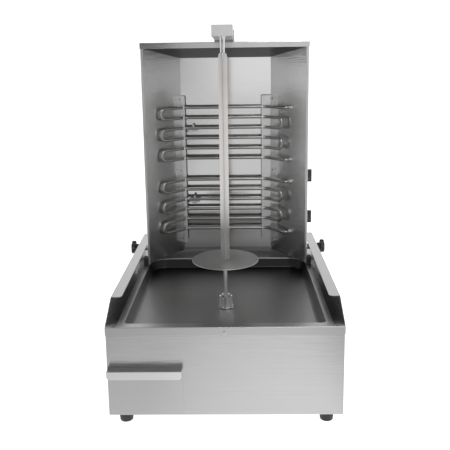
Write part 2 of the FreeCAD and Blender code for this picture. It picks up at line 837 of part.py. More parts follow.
def skewer_bar():
    """A square bar set corner-on, bored for the rod, tapered at its top and ending in a flat tang."""
    body = new_body("Bar")
    pad(body, polygon(sketch_on(body, "xy", "bar_base"), square_on_corner("half_bar")),
        "bar_top - tip_height - bar_base")
    fillet(body, "1.2", upright)
    doc.recompute()
    lower = polygon(sketch_on(body, "xy", "bar_top - tip_height"), square_on_corner("half_bar - 0.6"))
    upper = polygon(sketch_on(body, "xy", "bar_top"), square_on_corner("half_bar * 0.8"))
    tip = body.newObject("PartDesign::AdditiveLoft", "Tip")
    tip.Profile = lower
    tip.Sections = [upper]
    tip.Ruled = True
    bore = rod("z", "0", "0", "bar_base - 1", "rod_radius + 0.02", "41.1")
    tang = block(both_sides("tang_thick / 2"), both_sides("tang_width / 2"),
                 ("bar_top - 1", "bar_top + tang_height"))
    return cut(fuse(body, tang), bore)


def meat_disc():
    plate = rod("z", "0", "0", "disc_height", "disc_radius", "disc_thick")
    return cut(plate, rod("z", "0", "0", "disc_height - 1", "rod_radius + running_gap", "disc_thick + 2"))


def top_spindle():
    """The steady that drops over the skewer's tang: a split fork below, a collar on the arm's bush."""
    base = "bar_top + seat_gap"
    collar_base = "arm_base + arm_wall + 1.5 + seat_gap"
    stem = rod("z", "0", "0", base, "spindle_radius", "arm_base + arm_wall + 6 - (%s)" % base)
    collar = rod("z", "0", "0", collar_base, "spindle_radius + 3", "2")
    slit = block(both_sides("tang_thick / 2 + 0.15"), both_sides("spindle_radius + 1"),
                 ("bar_top - 1", "arm_base - 4"))
    eye = rod("y", "0", "-10", "bar_top + tang_height + 4", "2", "20")
    return cut(fuse(stem, collar), slit, eye)


finish("skewer_rod", skewer_rod(), "skewer_place")
drive_pin = rod("x", "-13", "0", "socket_top - 3", "screw_radius", "26")
disc_pin = rod("x", "-9", "0", "disc_height - screw_radius", "screw_radius", "18")
finish("skewer_pins", group(drive_pin, disc_pin), "skewer_place")
finish("meat_disc", meat_disc(), "skewer_place")
finish("skewer_bar", skewer_bar(), "skewer_place")
finish("top_spindle", top_spindle(), "skewer_place")

# ---------------------------------------------------------------------------------------------------
# Heater cabinet: covers and liners
# ---------------------------------------------------------------------------------------------------
def side_cover():
    """The right outer cover, with a narrow return at the mouth and the clamp stud's seat."""
    return slab("xy", [
        ("half_cabinet", "cabinet_front"),
        ("half_cabinet", "cabinet_rear - sheet"),
        ("half_cabinet - sheet", "cabinet_rear - sheet"),
        ("half_cabinet - sheet", "cabinet_front + sheet"),
        ("half_mouth", "cabinet_front + sheet"),
        ("half_mouth", "cabinet_front"),
    ], "cabinet_base", "cap_under")


REAR_SCREWS = [("%s(half_cabinet - 10)" % side, z) for side in ("", "-")
               for z in ("cabinet_base + 20", "(cabinet_base + cap_under) / 2", "cap_under - 30")]


def rear_cover():
    wall = block(both_sides("half_cabinet"), ("cabinet_rear - sheet", "cabinet_rear"),
                 ("cabinet_base", "cap_under"))
    y_span = ("cabinet_rear - sheet - 1", "cabinet_rear + 1")
    vents = slots(8, "-50", "cap_under - 130", 100, 4, 11, *y_span)
    vents += slots(8, "-50", "cabinet_base + 60", 100, 4, 11, *y_span)
    gland_hole = rod("y", "gland_x", "cabinet_rear - sheet - 1", "gland_z", "gland_radius - 3", "sheet + 2")
    screw_holes = [rod("y", x, "cabinet_rear - sheet - 1", z, "screw_radius + running_gap", "sheet + 2")
                   for x, z in REAR_SCREWS]
    return cut(wall, gland_hole, *(vents + screw_holes))


def rear_screw(x, z):
    head = rod("y", x, "cabinet_rear", z, "head_radius", "head_height")
    shank = rod("y", x, "cabinet_rear - sheet - 4", z, "screw_radius", "sheet + 5")
    return fuse(head, shank)


def cabinet_cap():
    """A shallow lid over the covers, folded down all round."""
    gap = "seat_gap + sheet"
    lid = block(both_sides("half_cabinet + " + gap), ("cabinet_front - (%s)" % gap, "cabinet_rear + " + gap),
                ("mouth_top", "cap_top"))
    inside = block(both_sides("half_cabinet + seat_gap"), ("cabinet_front - seat_gap", "cabinet_rear + seat_gap"),
                   ("mouth_top - 1", "cap_under"))
    return cut(lid, inside)


def roof_line(y, lift="0"):
    """The height of the sloping top reflector's underside at a place, raised by a formula."""
    return "mouth_top - roof_slope * ((%s) - wing_front) + %s" % (y, lift)


def right_wing():
    """A mirror-finish reflector from the mouth's edge to the back reflector, cut to the roof's slope."""
    wing = slab("xy", [
        ("half_mouth", "wing_front"),
        ("half_reflector", "reflector_face"),
        ("half_reflector + liner * wing_nx", "reflector_face + liner * wing_ny"),
        ("half_mouth + liner * wing_nx", "wing_front + liner * wing_ny"),
    ], "cabinet_base", "mouth_top + 10")
    above = slab("yz", [
        ("wing_front - 9", roof_line("wing_front - 9", "liner")),
        ("reflector_face + 9", roof_line("reflector_face + 9", "liner")),
        ("reflector_face + 9", "mouth_top + 40"),
        ("wing_front - 9", "mouth_top + 40"),
    ], "0", "half_cabinet")
    return cut(wing, above)


def wing_point(along, off):
    """A point on the right wing's plan: distance from the back corner and distance off its face."""
    return ("half_reflector + (%s) * wing_ny - (%s) * wing_nx" % (along, off),
            "reflector_face - (%s) * wing_nx - (%s) * wing_ny" % (along, off))


def terminal_heights():
    return ["upper_run", "upper_run - 5 * tube_pitch", "lower_run", "lower_run - 5 * tube_pitch"]


def sensed_run(top_run):
    return "%s - 2 * tube_pitch" % top_run


def bulb_height(top_run):
    return "%s - tube_radius - sensor_radius - seat_gap" % sensed_run(top_run)


def grommet_height(top_run):
    return "%s - capillary_drop" % bulb_height(top_run)


def square_to_wing(item, x, y, z):
    """Turn a cylinder so that it runs outwards, square to the right wing, from a point."""
    item.Placement = Placement(Vector(), Rotation(Vector(0, 1, 0), 90))
    bind(item, Placement__Rotation__Axis__x="-wing_ny", Placement__Rotation__Axis__y="wing_nx",
         Placement__Rotation__Axis__z="0", Placement__Rotation__Angle="90")
    return at(item, x, y, z)


def wing_rod(z, radius, start, length):
    """A cylinder through the right wing at a terminal; start is measured inwards from the wing's face."""
    item = doc.addObject("Part::Cylinder", "WingRod")
    bind(item, Radius=radius, Height=length)
    return square_to_wing(item, "terminal_x - (%s) * wing_nx" % start, "terminal_y - (%s) * wing_ny" % start, z)


def top_reflector():
    sloped = slab("yz", [
        ("wing_front", "mouth_top"),
        ("reflector_face", "roof_rear"),
        ("reflector_face", "roof_rear + liner"),
        ("wing_front", "mouth_top + liner"),
    ], "-half_mouth", "half_mouth")
    plan = slab("xy", [
        ("-half_mouth", "wing_front"),
        ("half_mouth", "wing_front"),
        ("half_reflector", "reflector_face"),
        ("-half_reflector", "reflector_face"),
    ], "roof_rear - 20", "mouth_top + 20")
    return common(sloped, plan)


def cabinet_floor():
    """Closes the space between the liners and the covers from below."""
    edge, front = "half_cabinet - sheet", "wing_front + liner * wing_ny"
    rear = "cabinet_rear - sheet"
    mouth_x, corner_x = "half_mouth + liner * wing_nx", "half_reflector + liner * wing_nx"
    corner_y = "reflector_face + liner"
    return slab("xy", [
        (edge, front), (edge, rear), ("-(%s)" % edge, rear), ("-(%s)" % edge, front),
        ("-(%s)" % mouth_x, front), ("-(%s)" % corner_x, corner_y), (corner_x, corner_y), (mouth_x, front),
    ], "cabinet_base", "cabinet_base + sheet")


right_cover = side_cover()
left_cover = mirrored(side_cover())
CONTROL_HEIGHTS = ("upper_control", "lower_control")
shaft_holes = [rod("x", "half_cabinet - sheet - 1", "control_y", z, "5", "sheet + 2") for z in CONTROL_HEIGHTS]
finish("left_cover", left_cover)
finish("right_cover", cut(right_cover, *shaft_holes))
finish("rear_cover", rear_cover())
finish("rear_cover_screws", group(*[rear_screw(x, z) for x, z in REAR_SCREWS]))
capillary_holes = [rod("y", "-capillary_x", "-1", grommet_height(run), "grommet_neck + seat_gap / 6",
                        "liner + 2")
                   for run in ("upper_run", "lower_run")]
back_sheet = block(both_sides("half_reflector"), ("0", "liner"), ("cabinet_base", "roof_rear"))
finish("back_reflector", cut(back_sheet, *capillary_holes), "reflector_face")
finish("left_wing", mirrored(right_wing()))
wing_holes = [wing_rod(z, "tube_radius + 0.6", "4", "liner + 8") for z in terminal_heights()]
finish("right_wing", cut(right_wing(), *wing_holes))
finish("top_reflector", top_reflector())
finish("cabinet_floor", cabinet_floor())


# ---------------------------------------------------------------------------------------------------
# Heating elements, their racks, ferrules and sensors
# ---------------------------------------------------------------------------------------------------
class Route:
    """A tube's centre line: straight runs joined by tangent arcs, followed from point to point."""

    def __init__(self, start):
        self.last = start
        self.edges = []

    def line_to(self, point):
        self.edges.append(Part.LineSegment(self.last, point).toShape())
        self.last = point

    def bend(self, corner, ahead, radius):
        """Run towards a corner and round it by an arc that leaves towards the point ahead."""
        back = (self.last - corner).normalize()
        away = (ahead - corner).normalize()
        half_turn = (math.pi - back.getAngle(away)) / 2
        reach = radius * math.tan(half_turn)
        middle = corner + (back + away).normalize() * (radius / math.cos(half_turn) - radius)
        self.line_to(corner + back * reach)
        self.arc_to(middle, corner + away * reach)

    def arc_to(self, middle, end):
        self.edges.append(Part.Arc(self.last, middle, end).toShape())
        self.last = end


def heating_element(label, top_run):
    """Six level runs of one tube: three turns at the left, two at the right, and both ends at the right wing."""
    pitch, plane, straight = number("tube_pitch"), number("tube_plane"), number("straight_half")
    wing_out = Vector(number("wing_nx"), number("wing_ny"), 0)
    through = Vector(number("terminal_x"), number("terminal_y"), 0)
    splay = math.atan2(number("wing_depth"), number("wing_run")) - math.radians(number("loop_toe"))
    turn = pitch / 2
    bend = number("tube_bend")
    heights = [number(top_run) - i * pitch for i in range(6)]

    def level(point, z):
        return Vector(point.x, point.y, z)

    end_outside = through + wing_out * number("terminal_tail")
    end_inside = through - wing_out * number("terminal_rise")
    first = Vector(straight, plane, heights[0])
    start = level(end_outside, heights[0])
    route = Route(start)
    route.bend(level(end_inside, heights[0]), first, number("terminal_bend"))
    side = 1
    for z in heights:
        near_knee, far_knee = Vector(side * straight, plane, z), Vector(-side * straight, plane, z)
        route.bend(near_knee, far_knee, bend)
        side = -side
        if z == heights[-1]:
            break
        run_out = Vector(side * math.cos(splay), -math.sin(splay), 0)
        loop_start = far_knee + run_out * (number("left_loop" if side < 0 else "right_loop") - turn)
        route.bend(far_knee, loop_start, bend)
        route.line_to(loop_start)
        route.arc_to(loop_start + run_out * turn - Vector(0, 0, turn), loop_start - Vector(0, 0, pitch))
    last_knee = Vector(side * straight, plane, heights[-1])
    inside = level(end_inside, heights[-1])
    route.bend(last_knee, inside, bend)
    route.bend(inside, level(end_outside, heights[-1]), number("terminal_bend"))
    route.line_to(level(end_outside, heights[-1]))
    section = Part.Circle(start, -wing_out, number("tube_radius")).toShape()
    tube = Part.Wire(route.edges).makePipe(Part.Face(Part.Wire([section])))
    item = doc.addObject("Part::Feature", "Element")
    item.Shape = tube
    return finish(label, item)


def tube_rack(reach, room):
    """The right rack: a foot on the wing, a leg square to it, and a face behind the runs that ends at a reach.

    Its saddles leave some room in front of the tubes.
    """
    section = [wing_point("rack_leg - rack_foot", "0"), wing_point("rack_leg", "0"),
               wing_point("rack_leg", "leg_reach"), (reach, "rack_face"), (reach, "rack_face + rack_wall"),
               wing_point("rack_place", "leg_reach - rack_wall * (1 - wing_nx) / wing_ny"),
               wing_point("rack_place", "rack_wall"), wing_point("rack_leg - rack_foot", "rack_wall")]
    folded = slab("xy", section, "rack_base", "rack_top")
    doc.recompute()
    end = number(reach)
    fillet(folded, "rack_round", lambda p, q: near(p.x, end) and near(q.x, end) and near(p.z, q.z))
    holes = [leg_hole(z) for z in RACK_HEIGHTS]
    saddles = [saddle(run, reach, room) for run in ("upper_run", "lower_run")]
    return fuse(cut(folded, *holes), *saddles)


def leg_hole(z):
    """A hole through the rack's leg, along the wing."""
    hole = doc.addObject("Part::Cylinder", "LegHole")
    bind(hole, Radius="rack_hole", Height="rack_wall + 4")
    hole.Placement = Placement(Vector(), Rotation(Vector(0, 1, 0), 90))
    bind(hole, Placement__Rotation__Axis__x="wing_nx", Placement__Rotation__Axis__y="wing_ny",
         Placement__Rotation__Axis__z="0", Placement__Rotation__Angle="90")
    return at(hole, *wing_point("rack_place - 2", "leg_reach / 2"), z)


def saddle(top_run, reach, room):
    """A pressed strap on the rack's face, humped over each of six runs, with some room for them to grow."""
    outer, inner = [("rack_face", "%s + tube_pitch / 2" % top_run)], []
    flat = "rack_face - rack_wall"
    crown = "tube_plane - tube_radius - " + room
    outer.append((flat, outer[0][1]))
    for i in range(6):
        middle = "%s - %d * tube_pitch" % (top_run, i)
        above, below = middle + " + tube_radius + saddle_room", middle + " - tube_radius - saddle_room"
        outer += [(flat, above + " + rack_wall"), (crown + " - rack_wall", above + " + rack_wall"),
                  (crown + " - rack_wall", below + " - rack_wall"), (flat, below + " - rack_wall")]
        inner += [("rack_face", above), (crown, above), (crown, below), ("rack_face", below)]
    lowest = "%s - 5.5 * tube_pitch" % top_run
    outline = outer + [(flat, lowest), ("rack_face", lowest)] + inner[::-1]
    return slab("yz", outline, reach, "%s + saddle_width" % reach)


def rack_screw(z):
    """A pan head seated on the rack's foot, square to the wing."""
    x, y = wing_point("rack_leg - rack_foot + head_radius + 0.6", "rack_wall + head_height")
    head = doc.addObject("Part::Cylinder", "Head")
    bind(head, Radius="head_radius", Height="head_height")
    return square_to_wing(head, x, y, z)


def ferrule(z):
    """A washer and a collar on the wing's face with the terminal's tube in their bore."""
    collar = wing_rod(z, "ferrule_radius", "ferrule_height", "ferrule_height")
    washer = wing_rod(z, "ferrule_radius + 1.5", "rack_wall", "rack_wall")
    bore = wing_rod(z, "tube_radius + running_gap / 2", "ferrule_height + 1", "ferrule_height + 2")
    return cut(fuse(collar, washer), bore)


def sensor(top_run):
    """A capillary bulb under the third run, with its capillary led back through the reflector."""
    bulb = rod("x", "-sensor_place - sensor_length / 2", "tube_plane", bulb_height(top_run),
               "sensor_radius", "sensor_length")
    start = Vector(number_of("-sensor_place - sensor_length / 2 + capillary_start"), number("tube_plane"),
                   number_of(bulb_height(top_run)))
    turn = Vector(-number("capillary_x"), start.y, start.z - number("capillary_drop"))
    behind = Vector(turn.x, number_of("reflector_face + liner + capillary_tail"), turn.z)
    route = Route(start)
    route.bend(turn, behind, number("capillary_bend"))
    route.line_to(behind)
    section = Part.Circle(start, turn - start, number("capillary_radius")).toShape()
    capillary = doc.addObject("Part::Feature", "Capillary")
    capillary.Shape = Part.Wire(route.edges).makePipe(Part.Face(Part.Wire([section])))
    return fuse(bulb, capillary)


def grommet(top_run):
    """A rubber bush where the capillary goes through the back reflector."""
    place = ("-capillary_x", "reflector_face - 1.5", grommet_height(top_run))
    flange = rod("y", *place, "grommet_flange", "1.5")
    neck = rod("y", *place, "grommet_neck", "liner + 2.5")
    return cut(fuse(flange, neck), rod("y", "-capillary_x", "reflector_face - 3", grommet_height(top_run),
                                       "capillary_radius + 0.05", "8"))


def sensor_clip(top_run):
    """A C-shaped clip behind a run and its bulb: a narrow jaw above with its nut, and a thick jaw below."""
    run = sensed_run(top_run)
    reach = "tube_radius + 0.1"
    low = "%s - tube_radius - 2 * sensor_radius - seat_gap - 0.1" % run
    rear = "tube_plane + %s" % reach
    body = block(around("-sensor_place", "clip_length / 2"),
                 ("tube_plane - tube_radius + 1", rear + " + clip_wall"),
                 (low + " - clip_thick_jaw", run + " + %s + clip_wall" % reach))
    front = "tube_plane - 2 * tube_radius"
    hollow = block(around("-sensor_place", "clip_length"), (front, rear), (low, run + " + " + reach))
    beside = [block(x_span, (front, rear + " + clip_wall + 1"), (low + " + 0.2", run + " + 3 * tube_radius"))
              for x_span in (("-sensor_place - clip_length", "-sensor_place - clip_jaw"),
                             ("-sensor_place + clip_jaw", "-sensor_place + clip_length"))]
    nut = rod("z", "-sensor_place", "tube_plane", "%s + %s + clip_wall - 0.1" % (run, reach),
              "clip_nut_radius", "clip_nut_height")
    return fuse(cut(body, hollow, *beside), nut)


RACK_HEIGHTS = ("rack_top - 9", "(rack_top + rack_base) / 2", "rack_base + 9")
heating_element("upper_element", "upper_run")
heating_element("lower_element", "lower_run")
finish("right_rack", tube_rack("right_rack_reach", "saddle_room"))
finish("left_rack", mirrored(tube_rack("left_rack_reach", "knee_room")))
right_screws = group(*[rack_screw(z) for z in RACK_HEIGHTS])
finish("rack_screws", group(right_screws, mirrored(right_screws)))
finish("terminal_ferrules", group(*[ferrule(z) for z in terminal_heights()]))
finish("sensor_bulbs", group(sensor("upper_run"), sensor("lower_run")))
finish("sensor_grommets", group(grommet("upper_run"), grommet("lower_run")))
finish("sensor_clips", group(sensor_clip("upper_run"), sensor_clip("lower_run")))


# ---------------------------------------------------------------------------------------------------
# Controls
# ---------------------------------------------------------------------------------------------------
def thermostat(z):
    """A capillary thermostat's body against the inside of the right cover, bored for its shaft."""
    face = "half_cabinet - sheet"
    case = block((face + " - thermostat_depth", face), around("control_y", "thermostat_half"),
                 around(z, "thermostat_half"))
    return cut(case, rod("x", face + " - control_shaft_inside - 2", "control_y", z,
                         "control_shaft_radius + running_gap", "control_shaft_inside + 8"))


def control_shaft(z):
    return rod("x", "half_cabinet - sheet - control_shaft_inside", "0", z, "control_shaft_radius",
               "sheet + control_shaft_inside + control_shaft_outside")


def control_knob(z):
    """A round skirted knob with a grip bar across its face, bored for the shaft."""
    start = "half_cabinet + control_gap"
    on_skirt = start + " + control_skirt - 1"
    skirt = cone("x", start, "control_y", z, "control_radius", "control_radius - control_taper",
                 "control_skirt")
    hub = cone("x", on_skirt, "control_y", z, "control_radius * 0.66", "control_radius * 0.6",
               "control_length - control_skirt - 1")
    grip = block((on_skirt, start + " + control_length"), around("control_y", "control_grip"),
                 around(z, "control_radius - 2"))
    round_edge = rod("x", start + " - 1", "control_y", z, "control_radius - control_taper - running_gap",
                     "control_length + 2")
    bore = rod("x", start + " - 1", "control_y", z, "control_shaft_radius + 0.02",
               "control_shaft_outside + 0.5")
    return cut(fuse(skirt, hub, common(grip, round_edge)), bore)


def clamp_knob():
    """A five-lobed clamp knob on a tapered hub, bored for its stud."""
    under_head = "clamp_face + clamp_length - clamp_head"
    hub = cone("x", "clamp_face", "clamp_y", "clamp_z", "clamp_hub_radius", "clamp_hub_radius + 3",
               "clamp_length - clamp_head + 1")
    head = rod("x", under_head, "clamp_y", "clamp_z", "clamp_radius", "clamp_head")
    scallops = []
    for turn in range(36, 396, 72):
        scallops.append(rod("x", under_head + " - 1",
                            "clamp_y + (clamp_radius + clamp_hollow_out) * cos(%d)" % turn,
                            "clamp_z + (clamp_radius + clamp_hollow_out) * sin(%d)" % turn,
                            "clamp_hollow", "clamp_head + 2"))
    bore = rod("x", "clamp_face - 1", "clamp_y", "clamp_z", "stud_radius + running_gap / 2", "stud_hold + 2.5")
    return cut(fuse(hub, cut(head, *scallops)), bore)


def clamp_stud():
    return rod("x", "half_cabinet", "clamp_y", "clamp_z", "stud_radius",
               "clamp_face + stud_hold - half_cabinet")


def tube_on_stud(first, last, radius):
    """A sleeve or washer on the clamp stud between two places along x."""
    sleeve = rod("x", first, "clamp_y", "clamp_z", radius, "(%s) - (%s)" % (last, first))
    return cut(sleeve, rod("x", "(%s) - 1" % first, "clamp_y", "clamp_z", "stud_radius + running_gap / 2",
                           "(%s) - (%s) + 2" % (last, first)))


def slide_blocks():
    """Plastic blocks on the covers' lower corners that ride on the pan's rim beside the guards."""
    outer = "half_skirt - guard_foot - seat_gap"
    return [block(("half_cabinet", outer), (y, "%s + 22" % y), ("deck_top + seat_gap", "deck_top + 21"))
            for y in ("cabinet_front + 3", "cabinet_rear - 27")]


finish("thermostats", group(*[thermostat(z) for z in CONTROL_HEIGHTS]))
finish("upper_control_shaft", control_shaft("upper_control"), "control_y")
finish("lower_control_shaft", control_shaft("lower_control"), "control_y")
finish("upper_control_knob", control_knob("upper_control"))
finish("lower_control_knob", control_knob("lower_control"))
finish("right_clamp_knob", clamp_knob())
finish("left_clamp_knob", mirrored(clamp_knob()))
stud = clamp_stud()
finish("clamp_studs", group(stud, mirrored(stud)))
spacer = tube_on_stud("half_cabinet", "half_skirt - sheet - seat_gap", "spacer_radius")
washer = tube_on_stud("half_skirt + seat_gap", "half_skirt + seat_gap + washer_thick", "washer_radius")
finish("clamp_sleeves", group(spacer, mirrored(spacer), washer, mirrored(washer)))
right_blocks = slide_blocks()
finish("slide_blocks", group(*(right_blocks + [mirrored(b) for b in right_blocks])))

# ---------------------------------------------------------------------------------------------------
# Top arm and its guides, terminal block, cable gland
# ---------------------------------------------------------------------------------------------------
GUIDE_PLACES = ("cabinet_front + 4", "cabinet_rear - 4 - guide_length")


def arm_channel():
    """A box-section arm, closed at its front, with the steady's bush hole in its underside."""
    outer = block(both_sides("arm_width / 2"), ("arm_front", "arm_rear"), ("arm_base", "arm_top"))
    inner = block(both_sides("arm_width / 2 - arm_wall"), ("arm_front + arm_wall", "arm_rear + 1"),
                  ("arm_base + arm_wall", "arm_top - arm_wall"))
    hole = rod("z", "0", "skewer_place", "arm_base - 1", "spindle_radius + 2", "arm_wall + 2")
    return cut(outer, inner, hole)


def arm_bush():
    barrel = rod("z", "0", "0", "arm_base - 1.5", "spindle_radius + 2", "arm_wall + 1.5")
    flange = rod("z", "0", "0", "arm_base + arm_wall", "spindle_radius + 4", "1.5")
    return cut(fuse(barrel, flange), rod("z", "0", "0", "arm_base - 3", "spindle_radius + running_gap", "12"))


def arm_guide(y, *feet):
    """A closed strap round the arm on the cap, with feet if it has any, and a tapped hole in its top."""
    strap = block(both_sides("guide_half + guide_wall"), (y, "%s + guide_length" % y), ("cap_top", "guide_top"))
    inside = block(both_sides("guide_half"), ("%s - 1" % y, "%s + guide_length + 1" % y),
                   ("cap_top + guide_base", "guide_top - guide_wall"))
    bolt_hole = rod("z", "0", "%s + guide_length / 2" % y, "guide_top - guide_wall - 1", "bolt_radius + 0.05",
                    "guide_wall + 2")
    return cut(fuse(strap, *feet) if feet else strap, inside, bolt_hole)


def guide_feet(y):
    return block(both_sides("guide_half + guide_wall + guide_foot"), (y, "%s + guide_length" % y),
                 ("cap_top", "cap_top + guide_wall"))


def guide_bolt(y):
    """A hexagon bolt through the guide's top that bears on the arm."""
    middle = "%s + guide_length / 2" % y
    head = slab("xy", hexagon("0", middle, "hex_radius"), "guide_top + running_gap",
                "guide_top + running_gap + hex_height")
    stem = rod("z", "0", middle, "arm_top + 0.05", "bolt_radius", "guide_top - arm_top + 1")
    return fuse(head, stem)


def guide_screws(y):
    return [rod("z", "%s(guide_half + guide_wall + guide_foot / 2)" % side, "%s + guide_length / 2" % y,
                "cap_top + guide_wall", "head_radius", "head_height") for side in ("", "-")]


def terminal_block():
    """A ceramic connector with a row of wire holes, on the rear cover."""
    base = "cabinet_base + 64"
    case = block(("-35", "35"), ("cabinet_rear - sheet - 18", "cabinet_rear - sheet"), (base, base + " + 16"))
    holes = [rod("z", "-27.5 + %d" % (i * 11), "cabinet_rear - sheet - 9", base + " - 1", "2.5", "18")
             for i in range(6)]
    return cut(case, *holes)


def cable_gland():
    """A screwed gland: a flange on the rear cover, a tapered nose, a barrel inside and a through bore."""
    flange = rod("y", "gland_x", "cabinet_rear", "gland_z", "gland_radius", "gland_flange")
    nose = cone("y", "gland_x", "cabinet_rear + gland_flange - 0.5", "gland_z", "gland_radius - 1",
                "gland_radius - 4", "gland_length - gland_flange + 0.5")
    barrel = rod("y", "gland_x", "cabinet_rear - sheet - 7", "gland_z", "gland_radius - 3", "sheet + 8")
    bore = rod("y", "gland_x", "cabinet_rear - sheet - 8", "gland_z", "gland_bore",
               "gland_length + sheet + 10")
    return cut(fuse(flange, nose, barrel), bore)


finish("cabinet_cap", cabinet_cap())
finish("arm_channel", arm_channel())
finish("arm_bush", arm_bush(), "skewer_place")
front_guide, rear_guide = GUIDE_PLACES
finish("arm_guides", group(arm_guide(front_guide), arm_guide(rear_guide, guide_feet(rear_guide))))
finish("guide_fasteners", group(guide_bolt(front_guide), guide_bolt(rear_guide), *guide_screws(rear_guide)))
finish("terminal_block", terminal_block())
finish("cable_gland", cable_gland())

# ---------------------------------------------------------------------------------------------------
# Check and write
# ---------------------------------------------------------------------------------------------------
doc.recompute()
for item in doc.Objects:
    if "Invalid" in item.State or "Error" in item.State:
        raise RuntimeError("failed: %s (%s) %s" % (item.Label, item.Name, item.State))
labels = [item.Label for item in finished]
if len(set(labels)) != len(labels):
    raise RuntimeError("two pieces share a name")
for item in finished:
    shape = item.Shape
    if shape.isNull() or not shape.isValid() or not shape.Solids:
        raise RuntimeError("bad shape: " + item.Label)
    shape.exportStep("parts/%s.step" % item.Label)
print("%d pieces written, %d solids" % (len(finished), sum(len(item.Shape.Solids) for item in finished)))
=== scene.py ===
import json
import math

import bmesh
import bpy
import numpy as np
from mathutils import Matrix, Vector


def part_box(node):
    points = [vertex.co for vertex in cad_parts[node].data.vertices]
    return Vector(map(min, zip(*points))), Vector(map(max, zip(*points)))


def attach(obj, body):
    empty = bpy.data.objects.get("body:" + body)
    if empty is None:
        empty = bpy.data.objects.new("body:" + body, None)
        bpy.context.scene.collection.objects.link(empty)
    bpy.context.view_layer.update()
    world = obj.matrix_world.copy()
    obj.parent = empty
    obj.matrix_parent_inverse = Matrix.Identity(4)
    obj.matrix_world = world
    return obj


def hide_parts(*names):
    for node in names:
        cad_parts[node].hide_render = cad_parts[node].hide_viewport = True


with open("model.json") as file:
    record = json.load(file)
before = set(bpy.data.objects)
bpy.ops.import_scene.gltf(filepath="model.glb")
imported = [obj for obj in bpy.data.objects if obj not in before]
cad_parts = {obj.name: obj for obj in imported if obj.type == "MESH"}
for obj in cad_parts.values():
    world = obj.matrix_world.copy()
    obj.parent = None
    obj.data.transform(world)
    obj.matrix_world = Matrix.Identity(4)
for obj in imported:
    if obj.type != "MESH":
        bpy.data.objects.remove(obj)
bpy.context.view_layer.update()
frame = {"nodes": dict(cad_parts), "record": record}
nodes = frame["nodes"]


# ---------------------------------------------------------------------------------------------------
# Camera
# ---------------------------------------------------------------------------------------------------
def aim_camera(place, yaw, pitch, roll, focal, centre_row, frame_side):
    """Look from a place along (sin yaw cos pitch, cos yaw cos pitch, -sin pitch), rolled about that line.

    The focal length and the row of the optical axis are in pixels of a square frame, so the lens is the focal
    length times the sensor over the side, and the vertical shift is the axis's distance below the middle.
    """
    ahead = Vector((math.sin(yaw) * math.cos(pitch), math.cos(yaw) * math.cos(pitch), -math.sin(pitch)))
    level = Vector((math.cos(yaw), -math.sin(yaw), 0))
    upward = level.cross(ahead)
    right = level * math.cos(roll) - upward * math.sin(roll)
    top = level * math.sin(roll) + upward * math.cos(roll)
    data = bpy.data.cameras.new("View")
    data.sensor_width = 36
    data.lens = focal / frame_side * data.sensor_width
    data.shift_y = -(frame_side / 2 - centre_row) / frame_side
    camera = bpy.data.objects.new("View", data)
    bpy.context.scene.collection.objects.link(camera)
    camera.matrix_world = Matrix.Translation(place) @ Matrix((right, top, -ahead)).transposed().to_4x4()
    bpy.context.scene.camera = camera


aim_camera((0.0293, -1.5029, 0.7649), yaw=-0.020, pitch=0.182, roll=0.014, focal=618.38, centre_row=178,
           frame_side=450)


# ---------------------------------------------------------------------------------------------------
# Shader sums
# ---------------------------------------------------------------------------------------------------
class Signal:
    """A shader output that can be added, multiplied and so on; each sum adds the Math node that does it."""

    def __init__(self, finish, socket):
        self.finish = finish
        self.socket = socket

    def _sum(self, operation, *terms):
        return self.finish.node("Math", {"operation": operation}, dict(enumerate(terms)))

    def __add__(self, other):
        return self._sum("ADD", self, other)

    __radd__ = __add__

    def __sub__(self, other):
        return self._sum("SUBTRACT", self, other)

    def __rsub__(self, other):
        return self._sum("SUBTRACT", other, self)

    def __mul__(self, other):
        return self._sum("MULTIPLY", self, other)

    __rmul__ = __mul__

    def __truediv__(self, other):
        return self._sum("DIVIDE", self, other)


